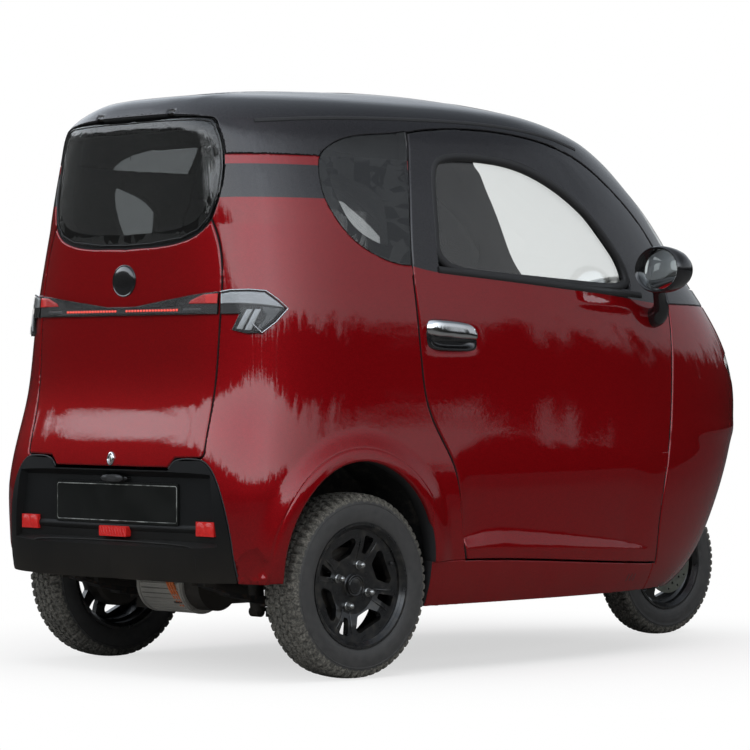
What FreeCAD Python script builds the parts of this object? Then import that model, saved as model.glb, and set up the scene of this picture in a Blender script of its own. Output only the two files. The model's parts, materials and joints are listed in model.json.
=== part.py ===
import FreeCAD, Part
import math
import os

os.makedirs("parts", exist_ok=True)
V = FreeCAD.Vector

# Main sizes of the body, in millimetres
body_length = 2320.0
body_width = 1152.0
body_top = 1598.0
sill_height = 180.0
tail_overhang = 402.0
wall = 38.0
panel_gap = 5.0
seat_gap = 0.3

# Running gear
wheelbase = 1776.0
rear_track = 1000.0
rear_tyre_d = 494.0
rear_tyre_w = 135.0
rear_rim_d = 333.0
front_tyre_d = 448.0
front_tyre_w = 104.0
front_rim_d = 290.0
steering_rake = 20.0
axle_tube_d = 56.0
spring_track = 550.0
fork_spread = 168.0
disc_d = 190.0

# Glass and trim
glass_thickness = 5.0
glass_inset = 2.0
flare_depth = 12.0

# Drawing sheet of the body: outlines are drawn at these sizes and stretched with the body
sheet_length = 2320.0
sheet_top = 1598.0
sheet_width = 1152.0
sx = body_length / sheet_length
sy = body_width / sheet_width
sz = body_top / sheet_top

rear_axle_x = (tail_overhang - wheelbase - front_tyre_d / 2) / 2


def save(name, shape):
    moved = shape.copy()
    moved.translate(V(rear_axle_x, 0, 0))
    moved.exportStep("parts/" + name + ".step")


def mirrored(shape):
    return shape.mirror(V(0, 0, 0), V(0, 1, 0))


def both(shape):
    return shape.fuse(mirrored(shape)).removeSplitter()


def pair(shape):
    return Part.makeCompound([shape, mirrored(shape)])


def box(x0, x1, y0, y1, z0, z1):
    return Part.makeBox(x1 - x0, y1 - y0, z1 - z0, V(x0, y0, z0))


def rod(a, b, radius):
    a = V(*a)
    b = V(*b)
    return Part.makeCylinder(radius, (b - a).Length, a, b - a)


def closed(points):
    return Part.makePolygon([V(*p) for p in points] + [V(*points[0])])


def smooth(points):
    curve = Part.BSplineCurve()
    curve.interpolate([V(*p) for p in points])
    return curve.toShape()


# Body form: three profiles give the tail, the nose and the half width at every height
tail_profile = [(-352, 180), (-390, 260), (-401, 380), (-402, 500), (-388, 620), (-364, 740),
                (-354, 900), (-348, 1080), (-340, 1260), (-330, 1420), (-324, 1485),
                (-296, 1530), (-200, 1560), (0, 1582), (300, 1598)]
nose_profile = [(1600, 180), (1700, 260), (1785, 380), (1848, 500), (1902, 630), (1918, 740),
                (1888, 860), (1805, 980), (1712, 1080), (1612, 1190), (1520, 1290), (1410, 1380),
                (1275, 1465), (1110, 1530), (890, 1570), (580, 1598)]
width_profile = [(535, 180), (562, 260), (574, 380), (576, 500), (564, 620), (552, 740),
                 (545, 860), (536, 980), (514, 1130), (487, 1280), (462, 1390), (432, 1480),
                 (385, 1530), (310, 1560), (210, 1584), (100, 1598)]


class Profile:
    """One edge of the body seen flat, moved inward by a chosen depth."""

    def __init__(self, points, across, inward, depth):
        run = Part.BSplineCurve()
        run.interpolate([V(p[0] * across, 0, p[1] * sz) for p in points])
        placed = []
        for p in points:
            u = run.parameter(V(p[0] * across, 0, p[1] * sz))
            along = run.tangent(u)[0]
            normal = V(along.z, 0, -along.x) * inward
            placed.append(V(p[0] * across, 0, p[1] * sz) + normal * depth)
        self.curve = Part.BSplineCurve()
        self.curve.interpolate(placed)
        self.low = placed[0]

    def at(self, height):
        if height <= self.low.z:
            return self.low.x
        first = self.curve.FirstParameter
        last = self.curve.LastParameter
        for step in range(40):
            middle = (first + last) / 2
            if self.curve.value(middle).z < height:
                first = middle
            else:
                last = middle
        return self.curve.value((first + last) / 2).x


rear_turns = 13
front_turns = 12
levels = [0, 80, 200, 320, 440, 560, 680, 800, 900, 1000, 1100, 1190, 1260, 1310, 1345,
          1366, 1380, 1391, 1399, 1406, 1412, 1416, 1418]


def tail_power(height):
    full = 7.0 - 2.2 * min(max((height / sz - 500) / 700, 0), 1)
    return full - 2.3 * min(max((height / sz - 1480) / 110, 0), 1)


def nose_power(height):
    return 2.7 - 0.4 * min(max((height / sz - 1480) / 118, 0), 1)


def widest(height):
    return sx * (300 + 140 * min(max((height / sz - 1330) / 268, 0), 1) ** 1.5)


def section(height, shape_height, tail, nose, half):
    points = []
    rear = tail_power(shape_height)
    front = nose_power(shape_height)
    widest_x = widest(shape_height)
    for i in range(rear_turns):
        angle = math.pi / 2 * i / rear_turns
        ca = math.cos(angle) / (widest_x - tail)
        sa = math.sin(angle) / half
        reach = (ca ** rear + sa ** rear) ** (-1 / rear)
        points.append((widest_x - reach * math.cos(angle), reach * math.sin(angle)))
    for i in range(front_turns + 1):
        angle = math.pi / 2 * i / front_turns
        along = math.sin(angle) ** (2 / front)
        across = max(math.cos(angle), 0) ** (2 / front)
        points.append((widest_x + (nose - widest_x) * along, half * across))
    ring = [V(x, y, height) for x, y in points]
    ring += [V(x, -y, height) for x, y in reversed(points[:-1])]
    return ring


def body_solid(depth):
    """The whole body form as one closed solid, its skin moved inward by depth."""
    tail = Profile(tail_profile, sx, 1, depth)
    nose = Profile(nose_profile, sx, -1, depth)
    half = Profile(width_profile, sy, -1, depth)
    bottom = sill_height
    top = body_top
    rows = []
    if depth > 0:
        base = section(bottom - 30, bottom, tail.at(bottom), nose.at(bottom), half.at(bottom))
        rows.append(base)
    for level in levels:
        share = level / 1418.0
        outer_height = bottom + (top - bottom) * share
        height = outer_height - depth * share ** 6
        rows.append(section(height, outer_height, tail.at(height), nose.at(height),
                            half.at(height)))
    surface = Part.BSplineSurface()
    surface.interpolate(rows)
    side = surface.toShape()
    rims = [e for e in side.Edges
            if abs(e.BoundBox.ZMax - e.BoundBox.ZMin) < 1 and e.BoundBox.XLength > 100]
    caps = [Part.Face(Part.Wire([e])) for e in rims]
    shell = Part.makeShell([side] + caps)
    shell.sewShape()
    solid = Part.Solid(Part.Shell(shell.Faces))
    if solid.Volume < 0:
        solid.reverse()
    return solid



forms = {}


def body_form(depth):
    if depth not in forms:
        forms[depth] = body_solid(depth)
    return forms[depth]


def grown(runs, gap):
    """The same closed outline moved outward by a gap, point by point along its normals."""
    loop = [p for run in runs for p in run[:-1]]
    area = 0
    for i in range(len(loop)):
        x0, z0 = loop[i - 1]
        x1, z1 = loop[i]
        area += x0 * z1 - x1 * z0
    turn = 1 if area > 0 else -1
    moved = []
    for i in range(len(loop)):
        before = loop[i - 1]
        here = loop[i]
        after = loop[(i + 1) % len(loop)]
        a = V(here[0] - before[0], here[1] - before[1], 0).normalize()
        b = V(after[0] - here[0], after[1] - here[1], 0).normalize()
        na = V(a.y, -a.x, 0) * turn
        nb = V(b.y, -b.x, 0) * turn
        mid = (na + nb) * (gap / (1 + na.dot(nb)))
        moved.append((here[0] + mid.x, here[1] + mid.y))
    result = []
    start = 0
    for run in runs:
        count = len(run) - 1
        result.append([moved[(start + k) % len(moved)] for k in range(count + 1)])
        start += count
    return result


def panel(sheet, near, far_side):
    """The part of a sheet that lies in the body wall between two depths."""
    return sheet.common(body_form(near)).cut(body_form(far_side))


def side_sheet(runs, grow, y0, y1):
    """A side outline stretched with the body, grown by a gap and pushed out along Y."""
    placed = grown([[(x * sx, z * sz) for x, z in run] for run in runs], grow)
    wire = Part.Wire([smooth([(x, y0, z) for x, z in run]) for run in placed])
    return Part.Face(wire).extrude(V(0, y1 - y0, 0))


def rear_sheet(half_runs, grow, x0, x1):
    """A half outline seen along X, mirrored to both sides, grown by a gap and pushed along X."""
    right = [[(-y * sy, z * sz) for y, z in run] for run in half_runs]
    left = [[(y * sy, z * sz) for y, z in reversed(run)] for run in reversed(half_runs)]
    runs = right + left
    placed = grown(runs, grow)
    wire = Part.Wire([smooth([(x0, y, z) for y, z in run]) for run in placed])
    return Part.Face(wire).extrude(V(x1 - x0, 0, 0))


# Door outline: rear edge, roof edge, front edge and bottom edge
door_rear = [(383, 300), (374, 340), (359, 438), (333, 561), (279, 660), (252, 726),
             (238, 818), (228, 979), (226, 1095), (246, 1278), (281, 1466)]
door_roof = [(281, 1466), (418, 1483), (557, 1488), (731, 1480), (913, 1452), (1065, 1400),
             (1176, 1334), (1274, 1257), (1342, 1180)]
door_front = [(1342, 1180), (1343, 1080), (1333, 949), (1316, 800), (1294, 660), (1264, 540),
              (1240, 428), (1236, 330), (1246, 257)]
door_bottom = [(1246, 257), (997, 270), (765, 284), (560, 295), (383, 300)]
door_outline = [door_rear, door_roof, door_front, door_bottom]

# Glass in the door: rear, top with the sloping front, and the belt
pane_rear = [(329, 1095), (336, 1230), (352, 1375)]
pane_top = [(352, 1375), (400, 1404), (509, 1411), (696, 1399), (860, 1345), (998, 1262),
            (1083, 1180), (1130, 1120), (1136, 1052)]
pane_belt = [(1136, 1052), (860, 1062), (559, 1077), (329, 1095)]
pane_outline = [pane_rear, pane_top, pane_belt]

# Black quarter glass behind the door, and the clear opening inside it
quarter_back = [(226, 1099), (162, 1105), (92, 1127), (16, 1171), (-34, 1228), (-59, 1280),
                (-64, 1333), (-52, 1385), (-14, 1415), (45, 1438), (142, 1453), (281, 1469)]
quarter_front = [(281, 1469), (246, 1280), (226, 1099)]
quarter_outline = [quarter_back, quarter_front]
clear_back = [(149, 1150), (81, 1170), (23, 1211), (-10, 1270), (-24, 1335), (37, 1329),
              (105, 1306), (151, 1274)]
clear_front = [(151, 1274), (154, 1212), (149, 1150)]
clear_outline = [clear_back, clear_front]

# Tailgate and its glass seen from behind
gate_low = [(0, 556), (238, 556)]
gate_step = [(238, 556), (264, 582)]
gate_ledge = [(264, 582), (352, 584)]
gate_corner = [(352, 584), (368, 588), (374, 604)]
gate_side = [(374, 604), (375, 740), (379, 869), (380, 977), (372, 1105), (357, 1162), (331, 1215)]
glass_side = [(331, 1215), (350, 1290), (352, 1350), (340, 1422), (322, 1462)]
glass_top = [(322, 1462), (306, 1482), (272, 1489), (140, 1492), (0, 1492)]
glass_low = [(0, 1143), (104, 1146), (230, 1158), (290, 1178), (331, 1215)]
gate_outline = [gate_low, gate_step, gate_ledge, gate_corner, gate_side, glass_side, glass_top]
rear_glass_outline = [glass_low, glass_side, glass_top]
pocket_low = [(0, 1141), (104, 1144), (230, 1156), (292, 1177), (338, 1226)]
pocket_side = [(338, 1226), (368, 1290), (370, 1350), (360, 1422), (345, 1470)]
pocket_top = [(345, 1470), (320, 1500), (272, 1508), (140, 1510), (0, 1510)]
pocket_outline = [pocket_low, pocket_side, pocket_top]

# Bumper seen from behind
bumper_top = [(0, 554), (238, 554)]
bumper_step = [(238, 554), (264, 580)]
bumper_ledge = [(264, 580), (345, 582)]
bumper_edge = [(345, 582), (382, 574), (416, 540), (444, 480), (464, 390), (474, 262)]
bumper_low = [(474, 262), (300, 258), (0, 258)]
bumper_outline = [bumper_top, bumper_step, bumper_ledge, bumper_edge, bumper_low]

# Windscreen seen from the front
screen_low = [(0, 1068), (200, 1066), (340, 1060)]
screen_side = [(340, 1060), (345, 1140), (334, 1230), (308, 1340), (276, 1430)]
screen_corner = [(276, 1430), (258, 1470), (215, 1490)]
screen_top = [(215, 1490), (110, 1499), (0, 1502)]
screen_outline = [screen_low, screen_side, screen_corner, screen_top]

# Headlamp seen from the front, on the left side
lamp_eye = [(178, 800), (215, 772), (280, 778), (335, 812), (348, 850), (300, 868), (225, 856),
            (178, 800)]

roof_seam = 1386 * sz
belt_seam = 1012 * sz
arch_x = -6.0
arch_centre_z = rear_tyre_d / 2 + 53
arch_half = rear_tyre_d / 2 + 15
arch_rise = rear_tyre_d / 2 + 30
rear_floor = arch_centre_z + arch_rise + 26
floor_low = sill_height + 14
far = body_width

def arch_sheet(extra, y0, y1):
    crown = V(arch_x, y0, arch_centre_z + arch_rise + extra)
    side = V(arch_x + arch_half + extra, y0, arch_centre_z)
    ring = Part.Ellipse(crown, side, V(arch_x, y0, arch_centre_z))
    disc = Part.Face(Part.Wire([ring.toShape()])).extrude(V(0, y1 - y0, 0))
    leg = box(arch_x - arch_half - extra, arch_x + arch_half + extra, y0, y1, 0, arch_centre_z)
    return disc.fuse(leg)


arch_left = arch_sheet(0, body_width / 4, far)
door_hole = side_sheet(door_outline, 0, 0, far)
door_cut = side_sheet(door_outline, -panel_gap, 0, far)
pane_cut = side_sheet(pane_outline, 0, 0, far)
quarter_cut = side_sheet(quarter_outline, 0, 0, far)
clear_cut = side_sheet(clear_outline, 0, 0, far)
gate_hole = rear_sheet(gate_outline, 0, -far, 60)
gate_cut = rear_sheet(gate_outline, -panel_gap, -far, 60)
rear_glass_cut = rear_sheet(pocket_outline, 0, -far, 60)
gate_window = rear_sheet(rear_glass_outline, -panel_gap - 32, -far, 60)
bumper_cut = rear_sheet(bumper_outline, 0, -far, 60)
screen_cut = rear_sheet(screen_outline, 0, 600, 2 * far)
screen_window = rear_sheet(screen_outline, -24, 600, 2 * far)
big = 3 * body_length
tunnel_half = 205.0
tunnel_top = front_tyre_d + 110
tunnel_back = wheelbase - front_tyre_d / 2 - 70
lamp_wire = Part.Wire([smooth([(700 * sx, y * sy, z * sz) for y, z in lamp_eye])])
lamp_cut = Part.Face(lamp_wire).extrude(V(2 * far, 0, 0))
pane_near = 14.0
glass_near = glass_inset
glass_far = glass_inset + glass_thickness

# Door hinges: a pin held in a pocket of the door turns in the eye of a swan neck on the body
hinge_tilt = 11.7
hinge_low = V(1204.5 * sx, 505 * sy, 450 * sz)
hinge_step = 112.0
hinge_pin_r = 3.0
hinge_eye_r = 5.5
hinge_half = 12.0


def on_hinge(shape, rise):
    """A shape drawn about the hinge line as its Z axis, set at a height along that line."""
    placed = shape.copy()
    placed.translate(V(0, 0, rise))
    placed.rotate(V(0, 0, 0), V(0, 1, 0), hinge_tilt)
    placed.translate(hinge_low)
    return placed


def upright(radius, half):
    return Part.makeCylinder(radius, 2 * half, V(0, 0, -half))


neck = box(-5, 5, -58, 0, -hinge_half, hinge_half).fuse(upright(hinge_eye_r, hinge_half))
strap = box(-5, 92, -58, -40, -hinge_half, hinge_half)
strap = strap.fuse(box(52, 92, -52, -20, -hinge_half, hinge_half))
swan_neck = neck.fuse(strap).cut(upright(hinge_pin_r + 0.05, 2 * hinge_half))
pocket = box(-13, 64, -70, 7, -hinge_half - 5, hinge_half + 5)
hinge_pin = upright(hinge_pin_r, hinge_half + 19)

# Doors: full wall thickness, with the window cut through and the pane set in a rebate
door = panel(door_cut, 0, wall).cut(pane_cut)
for rise in (0, hinge_step):
    door = door.cut(on_hinge(pocket, rise)).fuse(on_hinge(hinge_pin, rise))
pane_seat = side_sheet(pane_outline, 12, 0, far)
door_glass = panel(pane_seat, pane_near, pane_near + glass_thickness)
door = door.cut(door_glass)
save("door_left", door)
save("door_right", mirrored(door))
save("door_glass_left", door_glass)
save("door_glass_right", mirrored(door_glass))

# Quarter panels: rear side of the body from the tailgate seam to the door seam
quarter_zone = box(-big, 420 * sx, 0, big, 262 * sz, roof_seam)
quarter_zone = quarter_zone.cut(door_hole).cut(gate_hole).cut(bumper_cut).cut(arch_left)
quarter_zone = quarter_zone.cut(box(230 * sx, big, 0, big, 0, 303 * sz))
quarter_zone = quarter_zone.cut(clear_cut)
quarter_zone = quarter_zone.cut(box(-far, 0, 0, 335 * sy, 400 * sz, 640 * sz))
quarter = panel(quarter_zone, 0, wall)
quarter_glass = panel(side_sheet(quarter_outline, -1.5, 0, far), glass_near, glass_far)
quarter = quarter.cut(panel(quarter_cut, -2, glass_far))
lip_zone = arch_sheet(34, 0, far).cut(arch_left).cut(door_hole)
lip_zone = lip_zone.common(box(-big, 240 * sx, 0, big, 262 * sz, big))
lip = panel(lip_zone, -flare_depth, 0)
quarter = quarter.fuse(lip)
save("quarter_left", quarter)
save("quarter_right", mirrored(quarter))
save("quarter_glasses", pair(quarter_glass))

# Sills under the doors, from the wheel arch to the front body
sill_zone = box(230 * sx, 1230 * sx, 0, big, 0, 303 * sz).cut(door_hole).cut(arch_left)
sill = panel(sill_zone, 0, wall)
save("sills", pair(sill))

# Front body around the steered wheel, open below and ahead of it
front_zone = box(1230 * sx, big, 0, big, 0, belt_seam).cut(door_hole).cut(lamp_cut)
front_zone = front_zone.fuse(mirrored(front_zone))
mouth = box(tunnel_back, big, -tunnel_half, tunnel_half, -10, tunnel_top)
mouth = mouth.makeFillet(90, [e for e in mouth.Edges if abs(e.BoundBox.ZMin - tunnel_top) < 1
                              and e.BoundBox.XLength > 100])
front_body = panel(front_zone.cut(mouth), 0, wall)
for rise in (0, hinge_step):
    bracket = on_hinge(swan_neck, rise)
    front_body = front_body.fuse(bracket).fuse(mirrored(bracket))
save("front_body", front_body)

# Roof with its front pillars and the cowl strip under the windscreen
roof_zone = box(-big, big, 0, big, belt_seam, big)
roof_zone = roof_zone.cut(box(-big, 600 * sx, 0, big, 0, roof_seam)).cut(door_hole).cut(quarter_cut)
roof_zone = roof_zone.fuse(mirrored(roof_zone))
roof_zone = roof_zone.cut(gate_hole).cut(screen_window)
roof = panel(roof_zone, 0, wall)
roof = roof.cut(panel(screen_cut, -2, glass_far))
gate_axis = V(-303 * sx, 0, 1504 * sz)
gate_hinge_y = 150 * sy
rolled_edge = 12.0


def across_gate(radius, half):
    """A round bar along the tailgate's hinge line, at its left hinge."""
    start = gate_axis + V(0, gate_hinge_y - half, 0)
    return Part.makeCylinder(radius, 2 * half, start, V(0, 1, 0))


# The roof's rear edge is rolled about the hinge line, so the opening tailgate clears it
edge_cut = box(-60, 0, -310 * sy, 310 * sy, -40, 0)
edge_cut.translate(gate_axis)
edge_roll = Part.makeCylinder(rolled_edge, 2 * 320 * sy, gate_axis - V(0, 320 * sy, 0), V(0, 1, 0))
roof = roof.cut(edge_cut.cut(edge_roll))
gate_pocket = box(-20, 32, -13, 13, -16, -1)
gate_pocket = gate_pocket.fuse(box(-8, 32, -13, 13, -1, 8))
gate_pocket.translate(gate_axis + V(0, gate_hinge_y, 0))
roof = roof.cut(gate_pocket).cut(mirrored(gate_pocket))
gate_pin = across_gate(hinge_pin_r, 27)
roof = roof.fuse(gate_pin).fuse(mirrored(gate_pin))
save("roof", roof)
windscreen = panel(rear_sheet(screen_outline, -1.5, 600, 2 * far), glass_near, glass_far)
save("windscreen", windscreen)

# Tailgate with the ring that carries the rear glass
gate = panel(gate_cut.cut(gate_window), 0, wall)
gate = gate.cut(panel(rear_glass_cut, -2, glass_far))
gate_arm = box(0, 30, -8, 8, -4, 4)
gate_arm.rotate(V(0, 0, 0), V(0, 1, 0), 30)
gate_arm.translate(gate_axis + V(0, gate_hinge_y, 0))
gate_strap = box(16, 28, -8, 8, -50, -10)
gate_strap.translate(gate_axis + V(0, gate_hinge_y, 0))
gate_arm = gate_arm.fuse(gate_strap).fuse(across_gate(6, 8))
gate_arm = gate_arm.cut(across_gate(hinge_pin_r + 0.05, 20))
gate = gate.fuse(gate_arm).fuse(mirrored(gate_arm))
gate = gate.cut(across_gate(hinge_pin_r + 0.05, 20)).cut(mirrored(across_gate(hinge_pin_r + 0.05, 20)))
save("tailgate", gate)
rear_glass = panel(rear_sheet(rear_glass_outline, -panel_gap - 1.5, -far, 60), glass_near,
                   glass_far)
save("rear_glass", rear_glass)

# Bumper with the sunk field for plate, reflectors and fog lamp
bumper_zone = rear_sheet(bumper_outline, -2, -far, 60).cut(gate_hole)
bumper_wall = wall + 10
bumper = panel(bumper_zone, 0, bumper_wall)
field_x = -(tail_overhang - 28)


def field_ring(x, grow):
    ring = [(x, -420 * sy - grow, 366 * sz - grow), (x, 420 * sy + grow, 366 * sz - grow),
            (x, 392 * sy + grow, 534 * sz + grow), (x, -392 * sy - grow, 534 * sz + grow)]
    return closed(ring)


field = Part.makeLoft([field_ring(field_x, 0), field_ring(field_x - 80, 50)], True, True)
bumper = bumper.cut(field)
save("rear_bumper", bumper)
plate = box(field_x - 4, field_x, -260, 260, 407 * sz, 517 * sz)
plate = plate.makeFillet(6, [e for e in plate.Edges if e.BoundBox.XLength > 3
                             and e.BoundBox.YLength < 1 and e.BoundBox.ZLength < 1])
save("number_plate", plate)
reflector = box(field_x - 8, field_x, 336, 408, 383 * sz, 421 * sz)
save("rear_reflectors", pair(reflector))
fog_lamp = box(field_x - 16, field_x, -58, 58, 372 * sz, 400 * sz)
fog_lamp = fog_lamp.makeFillet(5, [e for e in fog_lamp.Edges if e.BoundBox.XLength > 10])
save("rear_fog_lamp", fog_lamp)

# Lamp bar on the tailgate, with the inner ends of the tail lamps
bar_top = [(0, 988), (238, 987)]
bar_rise = [(238, 987), (270, 1004), (327, 1020), (374, 1024)]
bar_end = [(374, 1024), (374, 962)]
bar_low = [(374, 962), (200, 962), (0, 962)]
lamp_proud = 14.0
bar_zone = rear_sheet([bar_top, bar_rise, bar_end, bar_low], 0, -far, 60)
lamp_bar = panel(bar_zone, -lamp_proud, -seat_gap)
save("tailgate_lamp_bar", lamp_bar)


# Tail lamps wrap the corner: their outline is drawn as seen from 45 degrees behind
def corner_point(u, z):
    run = u * sx
    return V(run * 0.7071 - 700, run * 0.7071 + 700, z * sz)


lamp_runs = [[(36, 962), (36, 1023)], [(36, 1023), (90, 1026), (152, 1023)],
             [(152, 1023), (180, 1000), (206, 976)], [(206, 976), (176, 940), (143, 911)],
             [(143, 911), (100, 911), (63, 921)], [(63, 921), (84, 962)], [(84, 962), (36, 962)]]
lamp_edges = []
for run in lamp_runs:
    curve = Part.BSplineCurve()
    curve.interpolate([corner_point(u, z) for u, z in run])
    lamp_edges.append(curve.toShape())
lamp_sheet = Part.Face(Part.Wire(lamp_edges)).extrude(V(900, -900, 0))
lamp_sheet = lamp_sheet.common(box(-big, 0, 0, big, 0, big))
tail_lamp = panel(lamp_sheet, -lamp_proud, -seat_gap)
save("tail_lamps", pair(tail_lamp))

# Headlamps fill their openings in the front body
eye_centre = V(0, 265 * sy, 818 * sz)
eye_scale = 0.975
eye = [(eye_centre.y + (y * sy - eye_centre.y) * eye_scale,
        eye_centre.z + (z * sz - eye_centre.z) * eye_scale) for y, z in lamp_eye]
eye_wire = Part.Wire([smooth([(700 * sx, y, z) for y, z in eye])])
headlamp = panel(Part.Face(eye_wire).extrude(V(2 * far, 0, 0)), 1.5, wall)
save("headlamps", pair(headlamp))

# Door handles: a grip bridging a sunk backing plate
handle_sheet = box(255 * sx, 452 * sx, 0, far, 872 * sz, 958 * sz)
handle_sheet = handle_sheet.makeFillet(26, [e for e in handle_sheet.Edges
                                            if e.BoundBox.YLength > 100])
handle = panel(handle_sheet, -6, -seat_gap)
grip_sheet = box(262 * sx, 445 * sx, 0, far, 905 * sz, 950 * sz)
grip_sheet = grip_sheet.makeFillet(18, [e for e in grip_sheet.Edges if e.BoundBox.YLength > 100])
grip = panel(grip_sheet, -24, -seat_gap)
grip = grip.cut(panel(box(292 * sx, 415 * sx, 0, far, 880 * sz, 980 * sz), -13, -6))
handle = handle.fuse(grip)
save("door_handle_left", handle)
save("door_handle_right", mirrored(handle))

# Mirrors: an oval shell on a short arm from the door frame
mirror_centre = V(1150 * sx, 590 * sy, 1108 * sz)
mirror_half = V(46, 90, 68)
mirror_back = mirror_centre.x - 24
rim_point = V(mirror_back, mirror_centre.y + mirror_half.y, mirror_centre.z)
top_point = V(mirror_back, mirror_centre.y, mirror_centre.z + mirror_half.z)
oval = Part.Ellipse(rim_point, top_point, V(mirror_back, mirror_centre.y, mirror_centre.z))
head = Part.Face(Part.Wire([oval.toShape()])).extrude(V(66, 0, 0))
head = head.makeFillet(38, [e for e in head.Edges if e.BoundBox.XMin > mirror_back + 60])
foot = V(1236 * sx, 462 * sy, 985 * sz)
arm = rod((foot.x, foot.y, foot.z), (mirror_centre.x + 8, mirror_centre.y - 46, mirror_centre.z - 34), 15)
pad = rod((foot.x, foot.y - 18, foot.z), (foot.x, foot.y + 26, foot.z + 4), 27)
stalk = arm.fuse(pad).cut(body_form(-seat_gap))
mirror = head.fuse(stalk)
save("mirror_left", mirror)
save("mirror_right", mirrored(mirror))

# Wheels: rims and tyres turned from their half sections
def turned(points, x, z):
    """A closed half section (radius, across) turned about the axle line at x, z."""
    wire = closed([(r, y, 0) for r, y in points])
    ring = Part.Face(wire).revolve(V(0, 0, 0), V(0, 1, 0), 360)
    ring.translate(V(x, 0, z))
    return ring


def tyre(outer_d, rim_d, width, x, z):
    r = outer_d / 2
    b = rim_d / 2 - 12
    h = width / 2
    crown = [(b, -h * 0.82), (b + 14, -h * 0.828), (b + 0.35 * (r - b), -h), (r - 26, -h * 0.97),
             (r - 8, -h * 0.82), (r, -h * 0.5)]
    crown += [(p[0], -p[1]) for p in reversed(crown)]
    hollow = [(b, h * 0.62), (b + 0.4 * (r - b), h * 0.8), (r - 22, h * 0.7), (r - 14, h * 0.4)]
    hollow += [(p[0], -p[1]) for p in reversed(hollow)]
    return turned(crown + hollow, x, z)


def rim_barrel(rim_d, width, x, z):
    f = rim_d / 2
    h = width / 2 * 0.82
    top = [(f, -h - 7), (f, -h - 1), (f - 12.3, -h), (f - 13, -h * 0.62), (f - 21, -h * 0.5)]
    top += [(p[0], -p[1]) for p in reversed(top)]
    low = [(f - 6, h + 7), (f - 17, h - 6), (f - 18, h * 0.55), (f - 26, h * 0.42)]
    low += [(p[0], -p[1]) for p in reversed(low)]
    return turned(top + low, x, z)


def polar(radius, degrees):
    angle = math.radians(degrees)
    return (radius * math.cos(angle), 0, radius * math.sin(angle))


def window(corners, rounding):
    """A rim window: a four-sided prism along the axle with rounded corners."""
    face = Part.Face(closed([polar(r, a) for r, a in corners]))
    face.translate(V(0, -150, 0))
    prism = face.extrude(V(0, 300, 0))
    return prism.makeFillet(rounding, [e for e in prism.Edges if e.BoundBox.YLength > 200])


rear_r = rear_tyre_d / 2
front_r = front_tyre_d / 2
stub_r = 18.0
lug_circle_r = 57.15
wheel_turn = -20.5
side_y = rear_track / 2
hub_face = 30.0
web_r = rear_rim_d / 2 - 16
window_r = rear_rim_d / 2 - 29
front_web_r = front_rim_d / 2 - 23
front_window_r = front_rim_d / 2 - 31
rear_tyre = tyre(rear_tyre_d, rear_rim_d, rear_tyre_w, 0, 0)
web = turned([(0, 8), (0, hub_face + 4), (26, hub_face + 4), (32, hub_face - 2),
              (76, hub_face), (105, hub_face + 9), (web_r, hub_face + 14),
              (web_r, hub_face - 6), (105, hub_face - 9), (84, hub_face - 16),
              (78, 8)], 0, 0)
rear_rim = rim_barrel(rear_rim_d, rear_tyre_w, 0, 0).fuse(web)
rear_rim = rear_rim.cut(Part.makeCylinder(stub_r + 0.05, 22, V(0, 0, 0), V(0, 1, 0)))
broad = window([(window_r, 17), (window_r, 73), (84, 61), (84, 29)], 12)
slot = window([(window_r, -7), (window_r, 7), (90, 4.5), (90, -4.5)], 5)
for i in range(4):
    for cutter in (broad, slot):
        turned_cutter = cutter.copy()
        turned_cutter.rotate(V(0, 0, 0), V(0, 1, 0), -90 * i)
        rear_rim = rear_rim.cut(turned_cutter)
    rear_rim = rear_rim.cut(Part.makeCylinder(8, 80, V(*polar(lug_circle_r, 90 * i)), V(0, 1, 0)))
rear_rim.rotate(V(0, 0, 0), V(0, 1, 0), -wheel_turn)
rear_tyre.translate(V(0, side_y, rear_r))
rear_rim.translate(V(0, side_y, rear_r))
save("rear_tyre_left", rear_tyre)
save("rear_tyre_right", mirrored(rear_tyre))
save("rear_rim_left", rear_rim)
save("rear_rim_right", mirrored(rear_rim))

# Steered wheel with its drilled disc on the right
pin_r = 8.0
disc_y = -52.0
disc_t = 5.0
front_tyre = tyre(front_tyre_d, front_rim_d, front_tyre_w, wheelbase, front_r)
front_web = turned([(0, -12), (0, 16), (44, 16), (60, 12), (front_web_r, 14),
                    (front_web_r, -2), (60, -6), (44, -12)], 0, 0)
disc_seat = turned([(0, disc_y + disc_t + 0.3), (0, -6), (40, -6), (34, disc_y + disc_t + 0.3)], 0, 0)
front_rim = rim_barrel(front_rim_d, front_tyre_w, 0, 0).fuse(front_web).fuse(disc_seat)
front_rim = front_rim.cut(Part.makeCylinder(pin_r + 0.05, 200, V(0, -100, 0), V(0, 1, 0)))
front_window = window([(front_window_r, -25), (front_window_r, 25), (62, 20), (62, -20)], 9)
for i in range(5):
    turned_cutter = front_window.copy()
    turned_cutter.rotate(V(0, 0, 0), V(0, 1, 0), -72 * i)
    front_rim = front_rim.cut(turned_cutter)
front_rim.translate(V(wheelbase, 0, front_r))
disc = turned([(pin_r + 4, disc_y), (disc_d / 2, disc_y), (disc_d / 2, disc_y + disc_t),
               (pin_r + 4, disc_y + disc_t)], 0, 0)
for i in range(12):
    for radius, turn in ((disc_d / 2 - 12, 0), (disc_d / 2 - 28, 15)):
        spot = V(*polar(radius, 30 * i + turn))
        disc = disc.cut(Part.makeCylinder(4, 200, spot - V(0, 100, 0), V(0, 1, 0)))
for i in range(5):
    disc = disc.cut(window([(56, 72 * i - 26), (56, 72 * i + 26), (36, 72 * i + 22), (36, 72 * i - 22)], 4))
disc.translate(V(wheelbase, 0, front_r))
save("front_tyre", front_tyre)
save("front_rim", front_rim)
save("brake_disc", disc)

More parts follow.
